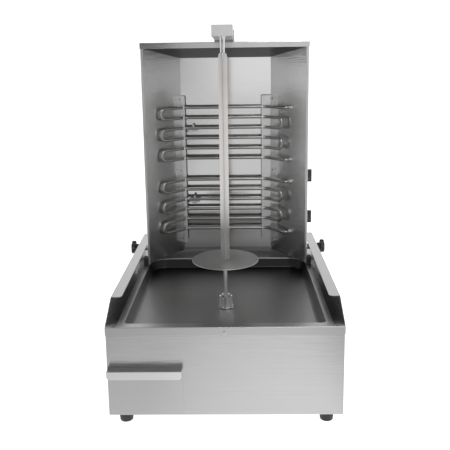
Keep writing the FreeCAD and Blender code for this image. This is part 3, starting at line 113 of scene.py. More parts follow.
class Finish:
    """One material, or the world: its node tree, and the method that adds a node to it."""

    def __init__(self, name, world=None):
        self.material = world or bpy.data.materials.new(name)
        self.material.use_nodes = True
        self.tree = self.material.node_tree
        self.tree.nodes.clear()

    def node(self, kind, settings, values, output=0):
        """Add a node of a kind: its settings first, then its inputs' values or links; gives one output."""
        made = self.tree.nodes.new("ShaderNode" + kind)
        for name, value in settings.items():
            if name == "stops":
                ramp = made.color_ramp
                for stop, (place, colour) in zip(list(ramp.elements), (value[0], value[-1])):
                    stop.position, stop.color = place, colour
                for place, colour in value[1:-1]:
                    ramp.elements.new(place).color = colour
            else:
                setattr(made, name, value)
        for name, value in values.items():
            if isinstance(value, Signal):
                self.tree.links.new(value.socket, made.inputs[name])
            else:
                made.inputs[name].default_value = value
        return Signal(self, made.outputs[output]) if made.outputs else None

    def place(self, scale=(1, 1, 1)):
        """The point's place on the object, in metres, stretched by a scale."""
        whole = self.node("TexCoord", {}, {}, "Object")
        return self.node("VectorMath", {"operation": "MULTIPLY"}, {0: whole, 1: scale})

    def along(self, axis, vector=None):
        """One coordinate of a vector, or of the point's place."""
        return self.node("SeparateXYZ", {}, {0: vector or self.place()}, axis)

    def noise(self, scale, detail=2.0, rough=0.5, at=None, output=0):
        """Cloudy noise from 0 to 1 about a half; its second output has one such noise for each axis."""
        return self.node("TexNoise", {"noise_dimensions": "3D"},
                         {"Vector": at or self.place(), "Scale": scale, "Detail": detail, "Roughness": rough},
                         output)

    def rise(self, value, start, end, low=0.0, high=1.0):
        """A value that goes smoothly from low to high while another goes from start to end."""
        return self.node("MapRange", {"interpolation_type": "SMOOTHSTEP"},
                         {0: value, 1: start, 2: end, 3: low, 4: high})

    def curve(self, value, stops):
        """A level that goes evenly through stops, each a place between 0 and 1 and the level there."""
        colours = [(place, grey(level)) for place, level in stops]
        return self.along("X", self.node("ValToRGB", {"stops": colours}, {0: value}))

    def light(self, level):
        """White light of a level, as a colour."""
        return self.node("VectorMath", {"operation": "SCALE"}, {0: (1, 1, 1), "Scale": level})

    def between(self, mask, low, high):
        """A value that goes evenly from low to high as the mask goes from 0 to 1."""
        return mask * (high - low) + low

    def blend(self, mask, first, second):
        """A colour between two colours."""
        return self.node("Mix", {"data_type": "RGBA"}, {0: mask, 6: first, 7: second}, 2)

    def bump(self, height, distance, strength=1.0):
        """A normal tilted by a height field, whose full height is a distance in metres."""
        return self.node("Bump", {}, {"Height": height, "Distance": distance, "Strength": strength})

    def close(self, **values):
        """The surface shader, from its inputs' values or links."""
        names = {name.replace("_", " "): value for name, value in values.items()}
        surface = self.node("BsdfPrincipled", {}, names)
        self.node("OutputMaterial", {}, {"Surface": surface})
        return self.material


def grey(level, warm=0.0):
    """A nearly neutral colour; warm is how much more red than blue it has."""
    return (level * (1 + warm / 2), level, level * (1 - warm / 2), 1)


def grained(grain, along, across):
    """A value for each axis: one for the axes that the grain runs along, and one for the others."""
    return tuple(along if axis in grain else across for axis in "xyz")


def brushed_steel(name, grain, level, rough, streak=0.12, haze=0.06, lean=0.5, highlight_span=None, **constants):
    """Sheet with fine straight scratches, soft wiped clouds and slightly uneven gloss.

    The scratches are noise stretched along the grain, 30 per metre along it and 7000 across it, and the
    broad bands are 2.5 and 260. Each scratch leans the normal across the grain by the noise about its half,
    times lean, so light spreads across the grain only. Streak is how far the tone goes either way, and haze
    how far the gloss does. A pair of places along y, front first, if given, marks where the sheet goes from
    a painted highlight, 1.4 times as bright, to plain.
    """
    finish = Finish(name)
    lines = finish.place(grained(grain, 30, 7000))
    scratch = finish.noise(1.0, 3.0, 0.7, lines)
    tilt = finish.noise(0.6, 2.0, 0.5, lines, "Color")
    centred = finish.node("VectorMath", {"operation": "SUBTRACT"}, {0: tilt, 1: (0.5, 0.5, 0.5)})
    leaning = finish.node("VectorMath", {"operation": "MULTIPLY_ADD"},
                          {0: centred, 1: grained(grain, 0, lean),
                           2: finish.node("NewGeometry", {}, {}, "Normal")})
    normal = finish.node("VectorMath", {"operation": "NORMALIZE"}, {0: leaning})
    band = finish.noise(1.0, 2.0, 0.6, finish.place(grained(grain, 2.5, 260)))
    cloud = finish.noise(7.0, 3.0, 0.5)
    tone = scratch * 0.3 + band * 0.4 + cloud * 0.3
    colour = finish.blend(tone, grey(level * (1 - streak)), grey(level * (1 + streak)))
    gloss = finish.between(scratch * 0.3 + cloud * 0.7, rough - haze, rough + haze)
    # A painted highlight: brighter in front of the first place, fading out by the second.
    if highlight_span:
        painted_highlight = finish.node("MapRange", {}, {0: finish.along("Y"), 1: highlight_span[0], 2: highlight_span[1], 3: 1.0, 4: 0.0})
        colour = finish.blend(painted_highlight, colour, grey(level * 1.4))
    return finish.close(Base_Color=colour, Metallic=1.0, Roughness=gloss, Normal=normal, **constants)


def shaded_pan_steel(name, low, high, rear_edge):
    """The pan's sheet: a plain rim, a sunk part painted darker as shade and a little rougher, and painted
    shade that thickens towards the heater.

    The painted shade goes smoothly from none before the drive to full at the heater's mouth, uneven by soft
    clouds, and stands for the dark inside of the cabinet that the pan reflects. It lies on the sunk part,
    from two millimetres below the deck, so the rolled edge keeps its bright line, and on the flat rim behind
    the recess.
    Low and high are the corners of the pan's box, which tell the sunk part from the skirt.
    """
    finish = Finish(name)
    scratch = finish.noise(1.0, 3.0, 0.7, finish.place(grained("x", 30, 7000)))
    cloud = finish.noise(7.0, 3.0, 0.5)
    back = finish.along("Y")
    side = finish.node("Math", {"operation": "ABSOLUTE"}, {0: finish.along("X")})
    from_side, from_rear, below_deck = high[0] - side, high[1] - back, high[2] - finish.along("Z")
    inside = (finish.rise(back - low[1], 0.012, 0.016) * finish.rise(from_side, 0.020, 0.024) *
              finish.rise(from_rear, 0.020, 0.024))
    sunk = finish.rise(below_deck, 0.0004, 0.0022) * inside
    behind = (finish.rise(back - rear_edge, 0.0015, 0.005) * finish.rise(from_side, 0.012, 0.030) *
              finish.rise(from_rear, 0.005, 0.030))
    # Painted shade, nearly black: it grows towards the heater and lies on the sunk part and on the rim behind
    # the recess.
    shade_to_heater = finish.rise(back + cloud * 0.06, -0.01, 0.20)
    painted_shade = finish.node("Math", {"operation": "MAXIMUM"}, {0: sunk, 1: behind}) * shade_to_heater
    grain = scratch * 0.6 + cloud * 0.4
    # The sunk part is painted darker than the rim: painted shade in the recess.
    unshaded_tone = finish.blend(grain, grey(0.46), grey(0.49))
    shaded_recess_tone = finish.blend(grain, grey(0.33), grey(0.36))
    colour = finish.blend(painted_shade, finish.blend(sunk, unshaded_tone, shaded_recess_tone), grey(0.03, 0.03))
    gloss = finish.between(sunk, 0.32, 0.36) + scratch * 0.02 + cloud * 0.04
    return finish.close(Base_Color=colour, Metallic=1.0, Roughness=gloss, Normal=finish.bump(scratch, 1e-5))


def turned_steel(name, level, rough, warm=0.0):
    """Machined or drawn bar: fine rings and a faint uneven tint."""
    finish = Finish(name)
    ring = finish.noise(1.0, 2.0, 0.6, finish.place((500, 500, 1600)))
    cloud = finish.noise(28.0, 3.0, 0.5)
    colour = finish.blend(cloud, grey(level * 0.9, warm), grey(level * 1.08, warm))
    gloss = finish.between(ring * 0.4 + cloud * 0.6, rough - 0.07, rough + 0.07)
    return finish.close(Base_Color=colour, Metallic=1.0, Roughness=gloss, Normal=finish.bump(ring, 1e-5))


def heater_tube_steel(name):
    """Nickel alloy sheath: drawn along its length, dulled and slightly straw-tinted where it has been hot."""
    finish = Finish(name)
    drawn = finish.noise(1.0, 2.0, 0.6, finish.place((20, 900, 900)))
    heat = finish.noise(9.0, 3.0, 0.55)
    colour = finish.blend(heat, (0.27, 0.265, 0.26, 1), (0.40, 0.388, 0.368, 1))
    gloss = finish.between(drawn * 0.5 + heat * 0.5, 0.22, 0.36)
    return finish.close(Base_Color=colour, Metallic=1.0, Roughness=gloss, Normal=finish.bump(drawn, 1e-6))


def moulded_plastic(name, level, rough, grain=2200.0):
    """Black plastic with a fine eroded grain and a little dust tone."""
    finish = Finish(name)
    pit = finish.noise(grain, 2.0, 0.6)
    cloud = finish.noise(35.0, 2.0, 0.5)
    colour = finish.blend(cloud, grey(level * 0.75), grey(level * 1.3))
    gloss = finish.between(cloud * 0.5 + pit * 0.5, rough - 0.08, rough + 0.08)
    return finish.close(Base_Color=colour, Roughness=gloss, Normal=finish.bump(pit, 4e-5, 0.5))


def fired_ceramic(name):
    """Cream steatite with fine specks."""
    finish = Finish(name)
    speck = finish.noise(900.0, 2.0, 0.7)
    colour = finish.blend(speck, (0.62, 0.59, 0.52, 1), (0.80, 0.78, 0.72, 1))
    gloss = finish.between(speck, 0.35, 0.55)
    return finish.close(Base_Color=colour, Roughness=gloss, Normal=finish.bump(speck, 3e-5, 0.4))


def cast_metal(name, level, rough):
    """Sand-grained casting."""
    finish = Finish(name)
    sand = finish.noise(700.0, 3.0, 0.7)
    cloud = finish.noise(20.0, 2.0, 0.5)
    colour = finish.blend(cloud, grey(level * 0.8), grey(level * 1.15))
    gloss = finish.between(sand, rough - 0.08, rough + 0.08)
    return finish.close(Base_Color=colour, Metallic=1.0, Roughness=gloss, Normal=finish.bump(sand, 1e-4, 0.6))


def sprayed_paint(name, level):
    """Enamel with a faint orange-peel."""
    finish = Finish(name)
    peel = finish.noise(260.0, 2.0, 0.5)
    cloud = finish.noise(12.0, 2.0, 0.5)
    colour = finish.blend(cloud, grey(level * 0.85), grey(level * 1.15))
    return finish.close(Base_Color=colour, Roughness=finish.between(peel, 0.3, 0.42), Coat_Weight=0.3,
                        Normal=finish.bump(peel, 8e-5, 0.4))


def sintered_bronze(name):
    """Oil-filled bronze with fine pores."""
    finish = Finish(name)
    pore = finish.noise(1800.0, 2.0, 0.7)
    colour = finish.blend(pore, (0.33, 0.21, 0.11, 1), (0.52, 0.35, 0.19, 1))
    return finish.close(Base_Color=colour, Metallic=1.0, Roughness=finish.between(pore, 0.35, 0.5),
                        Normal=finish.bump(pore, 2e-5))


PAN_REAR_RIM = 0.1385
handle_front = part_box("drawer_front")[0][1]

level_sheet = brushed_steel("level_sheet", "x", 0.50, 0.20, streak=0.07, haze=0.04, lean=0.6)
# The drawer front's steel, with a painted highlight on the handle's lip, which stands furthest forward.
pulled_sheet = brushed_steel("pulled_sheet", "x", 0.50, 0.20, streak=0.07, haze=0.04, lean=0.6,
                             highlight_span=(handle_front + 0.0025, handle_front + 0.0045))
side_sheet = brushed_steel("side_sheet", "y", 0.42, 0.22, streak=0.07, haze=0.04, lean=0.9)
arm_sheet = brushed_steel("arm_sheet", "y", 0.60, 0.24, streak=0.07, lean=0.3)
upright_sheet = brushed_steel("upright_sheet", "z", 0.50, 0.24, streak=0.07, lean=0.9)
# The wings' steel is set brighter than the other sheets: painted light, so that the wings show lighter.
wing_sheet = brushed_steel("wing_sheet", "xy", 0.79, 0.24, streak=0.05, haze=0.03, lean=0.5)
mirror_sheet = brushed_steel("mirror_sheet", "xy", 0.60, 0.10, streak=0.03, haze=0.02, lean=0.06)
roof_sheet = brushed_steel("roof_sheet", "x", 0.08, 0.30, lean=0.3, Specular_Tint=grey(0.6))
rack_sheet = brushed_steel("rack_sheet", "z", 0.56, 0.34, streak=0.05, lean=0.6)
pan_sheet = shaded_pan_steel("pan_sheet", *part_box("drip_pan"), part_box("drip_pan")[1][1] - PAN_REAR_RIM)
polished = turned_steel("polished_steel", 0.76, 0.15)
satin_steel = turned_steel("satin_steel", 0.66, 0.32)
satin_bar = turned_steel("satin_bar", 0.52, 0.40, 0.05)
disc_steel = turned_steel("disc_steel", 0.41, 0.36)
tube_steel = heater_tube_steel("element_tube")
bracket = brushed_steel("bracket_steel", "z", 0.42, 0.36)
fastener = turned_steel("fastener_steel", 0.68, 0.24)
ceramic = fired_ceramic("ceramic")
knob_black = moulded_plastic("knob_black", 0.018, 0.42)
rubber = moulded_plastic("black_rubber", 0.022, 0.6, 1400.0)
gland_black = moulded_plastic("gland_plastic", 0.02, 0.45)
paint = sprayed_paint("motor_paint", 0.06)
casting = cast_metal("cast_alloy", 0.42, 0.5)
bronze = sintered_bronze("bronze")
pointer_white = sprayed_paint("pointer_white", 0.72)

FINISHES = {
    level_sheet: ["base_front", "base_back", "base_bottom", "drawer_box", "rear_cover", "cabinet_cap",
                  "cabinet_floor"],
    side_sheet: ["base_left_side", "base_right_side", "left_guard", "right_guard", "drawer_runners"],
    arm_sheet: ["arm_channel"],
    pulled_sheet: ["drawer_front"],
    upright_sheet: ["left_cover", "right_cover"],
    pan_sheet: ["drip_pan"],
    wing_sheet: ["left_wing", "right_wing"],
    mirror_sheet: ["back_reflector"],
    roof_sheet: ["top_reflector"],
    polished: ["drive_socket", "top_spindle", "sensor_bulbs", "arm_bush"],
    satin_steel: ["drive_shaft", "skewer_rod", "skewer_pins"],
    satin_bar: ["skewer_bar"],
    disc_steel: ["meat_disc"],
    tube_steel: ["upper_element", "lower_element"],
    bracket: ["motor_bracket", "thermostats", "arm_guides"],
    rack_sheet: ["left_rack", "right_rack", "sensor_clips"],
    fastener: ["foot_fasteners", "pan_screw", "rack_screws", "rear_cover_screws", "guide_fasteners",
               "terminal_ferrules", "clamp_studs", "clamp_sleeves", "upper_control_shaft",
               "lower_control_shaft"],
    ceramic: ["terminal_block"],
    knob_black: ["upper_control_knob", "lower_control_knob", "left_clamp_knob", "right_clamp_knob"],
    rubber: ["feet", "slide_blocks", "sensor_grommets"],
    gland_black: ["cable_gland"],
    paint: ["motor"],
    casting: ["gearbox"],
    bronze: ["shaft_bush"],
}
for material, names in FINISHES.items():
    for name in names:
        for place in nodes[name].material_slots:
            place.material = material


# ---------------------------------------------------------------------------------------------------
# Surfaces
# ---------------------------------------------------------------------------------------------------
SHEET = 0.0012
EDGE = 0.0003
BODY = {node: body for body, names in frame["record"]["behaviour"]["bodies"].items() for node in names}


def bent(corners, radii, steps=6):
    """A line through corners with an arc in place of each inner corner.

    Where the line turns by an angle f, an arc of radius r starts r tan(f / 2) before the corner. From there
    its points are r sin(a) along the line before and r (1 - cos a) towards the inside, for a from 0 to f.
    """
    corners = np.asarray(corners, float)
    radii = np.broadcast_to(radii, len(corners) - 2)[:, None, None]
    legs = np.diff(corners, axis=0)
    legs /= np.linalg.norm(legs, axis=1, keepdims=True)
    before, after = legs[:-1, None], legs[1:, None]
    cosine = (before * after).sum(-1, keepdims=True)
    inside = after - cosine * before
    inside /= np.linalg.norm(inside, axis=-1, keepdims=True)
    turn = np.arccos(np.clip(cosine, -1, 1))
    angle = turn * np.linspace(0, 1, steps)[None, :, None]
    start = corners[1:-1, None] - before * radii * np.tan(turn / 2)
    arcs = start + radii * (np.sin(angle) * before + (1 - np.cos(angle)) * inside)
    return np.concatenate((corners[:1], arcs.reshape(-1, corners.shape[1]), corners[-1:]))


def circle(count):
    """Angles once round, with the last on the first."""
    return np.linspace(0, 2 * math.pi, count + 1)


def turned(profile, centre, ahead=(0, 0, 1), angles=None):
    """A surface of revolution: the profile's radius and height carried round an axis through a centre.

    A point is the centre plus radius (cos a, sin a) across the axis plus height along it.
    """
    profile = np.asarray(profile, float)
    angles = circle(64) if angles is None else angles
    radius, height = np.broadcast_arrays(profile[:, 0, None], profile[:, 1, None] + 0 * angles)
    return about(radius * np.cos(angles), radius * np.sin(angles), height, centre, ahead)


def about(side, over, height, centre, ahead=(0, 0, 1)):
    """Points from two places across an axis and a height along it, from the axis's direction.

    The first place is measured level, square to the axis, or along x where the axis is upright.
    """
    ahead = np.asarray(ahead, float) / np.linalg.norm(ahead)
    level = np.array([-ahead[1], ahead[0], 0]) if ahead[:2].any() else np.array([1.0, 0, 0])
    level /= np.linalg.norm(level)
    upward = np.cross(ahead, level)
    side, over, height = (values[..., None] for values in np.broadcast_arrays(side, over, height))
    return side * level + over * upward + height * ahead + np.asarray(centre, float)


def joined(name, sheets, gaps=None):
    """One mesh from sheets of points, rows by columns, joined by quads; points that meet become one.

    Gaps is a mask of the first sheet's quads to leave out.
    """
    points, faces = [], []
    total = 0
    for index, sheet in enumerate(sheets):
        rows, columns = sheet.shape[:2]
        row, column = np.meshgrid(np.arange(rows - 1), np.arange(columns - 1), indexing="ij")
        first = row * columns + column + total
        quads = np.stack((first, first + 1, first + columns + 1, first + columns), axis=-1)
        keep = np.ones(quads.shape[:2], bool) if gaps is None or index else ~gaps
        points.append(sheet.reshape(-1, 3))
        faces.append(quads[keep])
        total += rows * columns
    mesh = bpy.data.meshes.new(name)
    mesh.from_pydata(np.concatenate(points), [], np.concatenate(faces).tolist())
    work = bmesh.new()
    work.from_mesh(mesh)
    bmesh.ops.remove_doubles(work, verts=work.verts, dist=2e-7)
    work.to_mesh(mesh)
    work.free()
    return mesh


def skin(name, sheets, finish, stands_for, crease=40, gaps=None, node=None):
    """A piece from sheets of points; edges that turn by more than the crease angle stay sharp."""
    return settle(name, joined(name, sheets, gaps), finish, stands_for, crease, node)


def settle(name, mesh, finish, stands_for, crease, node=None):
    """Put a mesh in the scene as a piece that stands for CAD nodes or adds to one, and rides with it."""
    mesh.materials.clear()
    mesh.materials.append(finish)
    mesh.shade_smooth()
    mesh.set_sharp_from_angle(angle=math.radians(crease))
    piece = bpy.data.objects.new(name, mesh)
    bpy.context.scene.collection.objects.link(piece)
    node = node or stands_for[0]
    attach(piece, BODY[node])
    if stands_for:
        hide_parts(*stands_for)
    return piece


def weighted(piece):
    """Let the flats set the shading where they run into a bend."""
    piece.modifiers.new("Flats", "WEIGHTED_NORMAL").keep_sharp = True
    return piece


def softened(piece, least_angle):
    """Round the edges that turn by more than an angle in degrees, just enough to catch the light."""
    rounding = piece.modifiers.new("Edges", "BEVEL")
    rounding.width, rounding.segments, rounding.angle_limit = EDGE, 2, math.radians(least_angle)
    return piece


def eased(name, finish, bend):
    """A copy of a folded or cut node with its corners rounded.

    The copy's doubles are merged and its flats joined. An outer corner between two wide faces gets the
    bend's radius, the inside of a bend that radius less the sheet, and every other corner an edge's radius.
    A face is wide if its area over the corner's length is more than 2.6 times the sheet.
    """
    work = bmesh.new()
    work.from_mesh(nodes[name].data)
    bmesh.ops.remove_doubles(work, verts=work.verts, dist=2e-6)
    bmesh.ops.dissolve_limit(work, angle_limit=math.radians(0.6), verts=work.verts, edges=work.edges)
    bmesh.ops.triangulate(work, faces=[face for face in work.faces if len(face.verts) > 4])
    weight = work.edges.layers.float.new("bevel_weight_edge")
    for line in work.edges:
        if len(line.link_faces) != 2 or line.calc_face_angle(0) < math.radians(28):
            continue
        width = min(face.calc_area() for face in line.link_faces) / line.calc_length()
        radius = EDGE
        if width > 2.6 * SHEET:
            radius = bend if line.is_convex else max(bend - SHEET, EDGE)
        line[weight] = radius / bend
    mesh = bpy.data.meshes.new(name + "_eased")
    work.to_mesh(mesh)
    work.free()
    piece = settle(name + "_eased", mesh, finish, (name,), 30)
    rounding = piece.modifiers.new("Bends", "BEVEL")
    rounding.limit_method = "WEIGHT"
    rounding.width, rounding.segments = bend, 3
    rounding.miter_outer = "MITER_ARC"
    return weighted(piece)


def box_of(name):
    """A node's lowest corner, highest corner and middle at rest."""
    low, high = (np.array(corner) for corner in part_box(name))
    return low, high, (low + high) / 2


def rounded_loops(half_x, half_y, radius, steps=5):
    """Closed loops round rectangles, one for each row: quarter circles about the corners' centres.

    They are given as two places, across and over.
    """
    angle = (np.linspace(0, math.pi / 2, steps) + np.arange(4)[:, None] * math.pi / 2).ravel()
    side = np.repeat([1, -1, -1, 1], steps)
    over = np.repeat([1, 1, -1, -1], steps)
    angle, side, over = (np.append(values, values[0]) for values in (angle, side, over))
    half_x, half_y, radius = (np.asarray(values, float).reshape(-1, 1) for values in (half_x, half_y, radius))
    return (side * (half_x - radius) + radius * np.cos(angle),
            over * (half_y - radius) + radius * np.sin(angle))


def slab(half_side, half_over, corner, base, tall, ease, centre, ahead=(0, 0, 1)):
    """A block with rounded corners, whose top edge slopes in over the last of its height."""
    share = np.array([0, 1, 1, 0.8, 0])
    rise = base + np.array([0, 0, tall - ease, tall, tall])
    return about(*rounded_loops(half_side * share, half_over * share, corner * share), rise[:, None], centre,
                 ahead)


# ---------------------------------------------------------------------------------------------------
# Drip pan
# ---------------------------------------------------------------------------------------------------
def pan_loop(sides, front, rear, front_round, rear_round, height, stops, steps):
    """A level loop round the pan: quarter circles at its four corners and stops along its front edge."""
    quarter = np.linspace(0, math.pi / 2, steps)
    corners = [(sides - front_round, front + front_round, front_round, -math.pi / 2),
               (sides - rear_round, rear - rear_round, rear_round, 0),
               (rear_round - sides, rear - rear_round, rear_round, math.pi / 2),
               (front_round - sides, front + front_round, front_round, math.pi)]
    arcs = [(x + r * np.cos(quarter + start), y + r * np.sin(quarter + start)) for x, y, r, start in corners]
    x = np.concatenate([arc[0] for arc in arcs] + [stops, arcs[0][0][:1]])
    y = np.concatenate([arc[1] for arc in arcs] + [stops * 0 + front, arcs[0][1][:1]])
    return np.stack((x, y, x * 0 + height), axis=-1)


def drip_pan():
    """The pan in one sheet: skirt, rim, sunk floor and the drive's hole.

    Each row is a loop. The skirt's and rim's loops are the outer rectangle set in, the recess's loops are
    the inner rectangle grown or shrunk, and the floor's loops go evenly from the recess's foot to the
    hole's circle. The relief notches are quads left out of the rim between slanted stops.
    """
    low, high, _ = box_of("drip_pan")
    deck, outer, front, rear = high[2], high[0], low[1], high[1]
    side_rim, front_rim, skirt_drop, depth = 0.0375, 0.0215, 0.0177, 0.025
    notch_end, notch_lean, notch_sides = 0.0175, 0.007, np.array([0.234, 0.237])
    skirt_corner, front_corner, rear_corner, hole_radius = 0.0022, 0.0105, 0.0455, 0.0112
    rim_left, wall_lean, foot_in = 0.003, 0.009, 0.023
    spaced = np.linspace(-0.15, 0.15, 7)
    even = np.linspace(-0.17, 0.17, len(spaced) + 4)
    corner_steps = 7
    front_stops = 4 * corner_steps

    def stops(inset):
        sides = notch_sides - notch_lean * min(inset / notch_end, 1)
        return np.concatenate((-sides[::-1], spaced, sides))

    folded = bent([(0, -skirt_drop), (0, 0), (notch_end, 0)], 0.0016, 7)
    rows = [pan_loop(outer - inset, front + inset, rear - inset, *[max(skirt_corner - inset, EDGE)] * 2,
                     deck + rise, stops(inset), corner_steps) for inset, rise in folded]
    sunk = bent([(rim_left, 0), (0, 0), (-wall_lean, -depth), (-foot_in, -depth)], [0.0013, 0.006], 7)
    rows += [pan_loop(outer - side_rim + grow, front + front_rim - grow, rear - PAN_REAR_RIM + grow,
                      front_corner, rear_corner + grow, deck + rise, even, corner_steps)
             for grow, rise in sunk]
    foot = rows[-1]
    middle_stop = front_stops + len(even) // 2
    angle = (np.arange(len(foot)) - middle_stop) * 2 * math.pi / (len(foot) - 1) - math.pi / 2
    hole = box_of("shaft_bush")[2][:2] + hole_radius * np.stack((np.cos(angle), np.sin(angle)), axis=-1)
    for share in (0.012, 0.3, 0.6, 0.85, 1.0):
        level = foot.copy()
        level[:, :2] += (hole - foot[:, :2]) * share
        rows.append(level)
    grid = np.stack(rows)
    gaps = np.zeros((len(grid) - 1, grid.shape[1] - 1), bool)
    first_flat = len(folded) - 2
    gaps[first_flat, [front_stops, front_stops + len(even) - 2]] = True
    pan = skin("pan_pressing", [grid], pan_sheet, ("drip_pan",), 50, gaps)
    walls = pan.modifiers.new("Thickness", "SOLIDIFY")
    walls.thickness, walls.offset, walls.use_quality_normals = SHEET, -1, True
    weighted(softened(pan, 50))


# ---------------------------------------------------------------------------------------------------
# Skewer
# ---------------------------------------------------------------------------------------------------
def skewer_bar():
    """A square bar set corner-on, and its flat tang, which starts a little below the bar's top.

    The ridges are rounded, and the shoulder closes in as a quarter ellipse.
    """
    low, high, middle = box_of("skewer_bar")
    tang_height, tang_sunk, shoulder, foot_edge, ridge, neck = 0.012, 0.0005, 0.013, 0.0006, 0.0013, 0.66
    top = high[2] - tang_height
    half = (high[0] - low[0]) / 2 + ridge * (math.sqrt(2) - 1)
    fall = np.linspace(1, 0, 9) ** 1.6
    drop = np.concatenate(([top - low[2]] * 2, [top - low[2] - foot_edge], fall * shoulder, [0]))
    share = np.concatenate(([0, 0.95, 1], neck + (1 - neck) * np.sqrt(1 - (1 - fall) ** 2), [0]))
    side = half / math.sqrt(2) * share
    across, over = rounded_loops(side, side, np.minimum(ridge, side * 0.99))
    turn = math.sqrt(0.5)
    axis = (middle[0], middle[1], 0)
    bar = about(across * turn - over * turn, across * turn + over * turn, (top - drop)[:, None], axis)
    tang = slab(0.0012, 0.003, 0.0005, top - tang_sunk, tang_height + tang_sunk, 0.0008, axis)
    skin("skewer_bar_ground", [bar, tang], satin_bar, ("skewer_bar",), 50)


def meat_disc():
    """A flat disc turned from its bore out to a half-round rim."""
    low, high, middle = box_of("meat_disc")
    radius, thick, bore = (high[0] - low[0]) / 2, high[2] - low[2], 0.0051
    profile = bent([(bore, 0), (radius, 0), (radius, thick), (bore, thick), (bore, 0)],
                   [thick * 0.48, thick * 0.48, EDGE], 6)
    disc = turned(profile, (middle[0], middle[1], low[2]), angles=circle(128))
    skin("meat_disc_turned", [disc], disc_steel, ("meat_disc",), 60)


def drive_socket():
    """A turned socket with six notches across its rim and six tabs round its foot.

    A notch is as wide at every radius, so its side is at the angle whose sine is half its width over the
    radius. Between the two columns at each side of a notch the rim falls by the notch's depth.
    """
    low, high, middle = box_of("drive_socket")
    tall, foot = high[2] - low[2], (high[0] - low[0]) / 2
    wall, bore, notch, half_notch = 0.0155, 0.0051, 0.006, 0.0025
    plain, notched_rim, tabbed = (0, 0), (1, 0), (0, 1)
    radius, height, cut, tab = np.array([
        (bore, 0, *plain), (wall + 0.0002, 0, *plain),
        (foot, 0, *tabbed), (foot, 0.0015, *tabbed),
        (wall + 0.0002, 0.0022, *plain), (wall, 0.0028, *plain),
        (wall, tall - 0.0008, *notched_rim), (wall - 0.0008, tall, *notched_rim),
        (0.0091, tall, *notched_rim), (0.0086, tall - 0.0005, *notched_rim),
        (bore, tall - 0.0074, *plain), (bore, 0, *plain)]).T[:, :, None]
    edge = np.arcsin(half_notch / radius)
    slope = math.radians(0.5)
    sector = math.radians(30)
    outer = [edge + slope + (sector - edge - slope) * share for share in (0, 0.3, 0.65)]
    inner = [(edge - slope) * share for share in (0.5, 1)]
    half_sector = np.concatenate(inner + outer, axis=1)
    whole = np.concatenate((-sector + 0 * edge, -half_sector[:, ::-1], 0 * edge, half_sector), axis=1)
    notched = np.array([0, 0, 0, 0, 1, 1, 1, 1, 1, 0, 0, 0])
    sectors = [whole + sector * 2 * turn for turn in range(6)]
    angle = np.concatenate(sectors + [whole[:, :1] + 12 * sector], axis=1)
    notched = np.append(np.tile(notched, 6), 0)
    tabs = np.append(np.tile([1, 1, 0, 0, 0, 0, 0, 0, 0, 0, 0, 1], 6), 1)
    reach = radius - tab * (1 - tabs) * (foot - wall - 0.0006)
    rise = height - cut * notched * notch
    points = about(reach * np.cos(angle), reach * np.sin(angle), rise, (middle[0], middle[1], low[2]))
    softened(skin("drive_socket_turned", [points], polished, ("drive_socket",), 35), 35)


# ---------------------------------------------------------------------------------------------------
# Feet, knobs and screws
# ---------------------------------------------------------------------------------------------------
def feet():
    """Four rubber feet, each turned from a tapered profile: a rounded sole, a groove and a screw recess."""
    low, high, _ = box_of("feet")
    tall, top, sole = high[2], 0.017, 0.014
    profile = bent([(0.006, 0.014), (0.006, 0), (sole, 0), (sole + 0.0022, 0.020), (sole + 0.0012, 0.0212),
                    (sole + 0.0024, 0.0224), (top, tall), (0.0031, tall), (0.0031, 0.014), (0.006, 0.014)],
                   [0.0004, 0.0016, 0.0004, 0.0004, 0.0004, 0.0008, 0.0003, 0.0003], 4)
    places = [(x, y, 0) for x in (low[0] + top, high[0] - top) for y in (low[1] + top, high[1] - top)]
    moulded = [turned(profile, place, angles=circle(40)) for place in places]
    skin("feet_moulded", moulded, rubber, ("feet",), 50)


def clamp_knob(side):
    """A five-lobed knob: a turned profile, drawn in between the lobes by a cosine of five times the angle."""
    node = side + "_clamp_knob"
    low, high, middle = box_of(node)
    out = 1 if side == "right" else -1
    start = low[0] if out > 0 else high[0]
    length = high[0] - low[0]
    profile = bent([(0, 0), (0.009, 0), (0.0112, length - 0.012), (0.0193, length - 0.0122),
                    (0.0195, length - 0.0025), (0.0165, length), (0.0075, length - 0.0006),
                    (0.0072, length - 0.0016), (0, length - 0.0012)],
                   [0.0006, 0.0018, 0.0022, 0.003, 0.004, 0.0002, 0.0002], 5)
    radius, height = profile[:, :1], profile[:, 1:]
    angle = circle(120)
    lobed = np.clip((radius - 0.0118) / 0.005, 0, 1) * np.clip((height - length + 0.0135) / 0.001, 0, 1)
    valley = (0.5 - 0.5 * np.cos(5 * (angle if out > 0 else angle + math.pi))) ** 1.6
    reach = radius * (1 - 0.2 * lobed * valley)
    points = about(reach * np.cos(angle), reach * np.sin(angle), height, (start, middle[1], middle[2]),
                   (out, 0, 0))
    skin(node + "_moulded", [points], knob_black, (node,), 50)


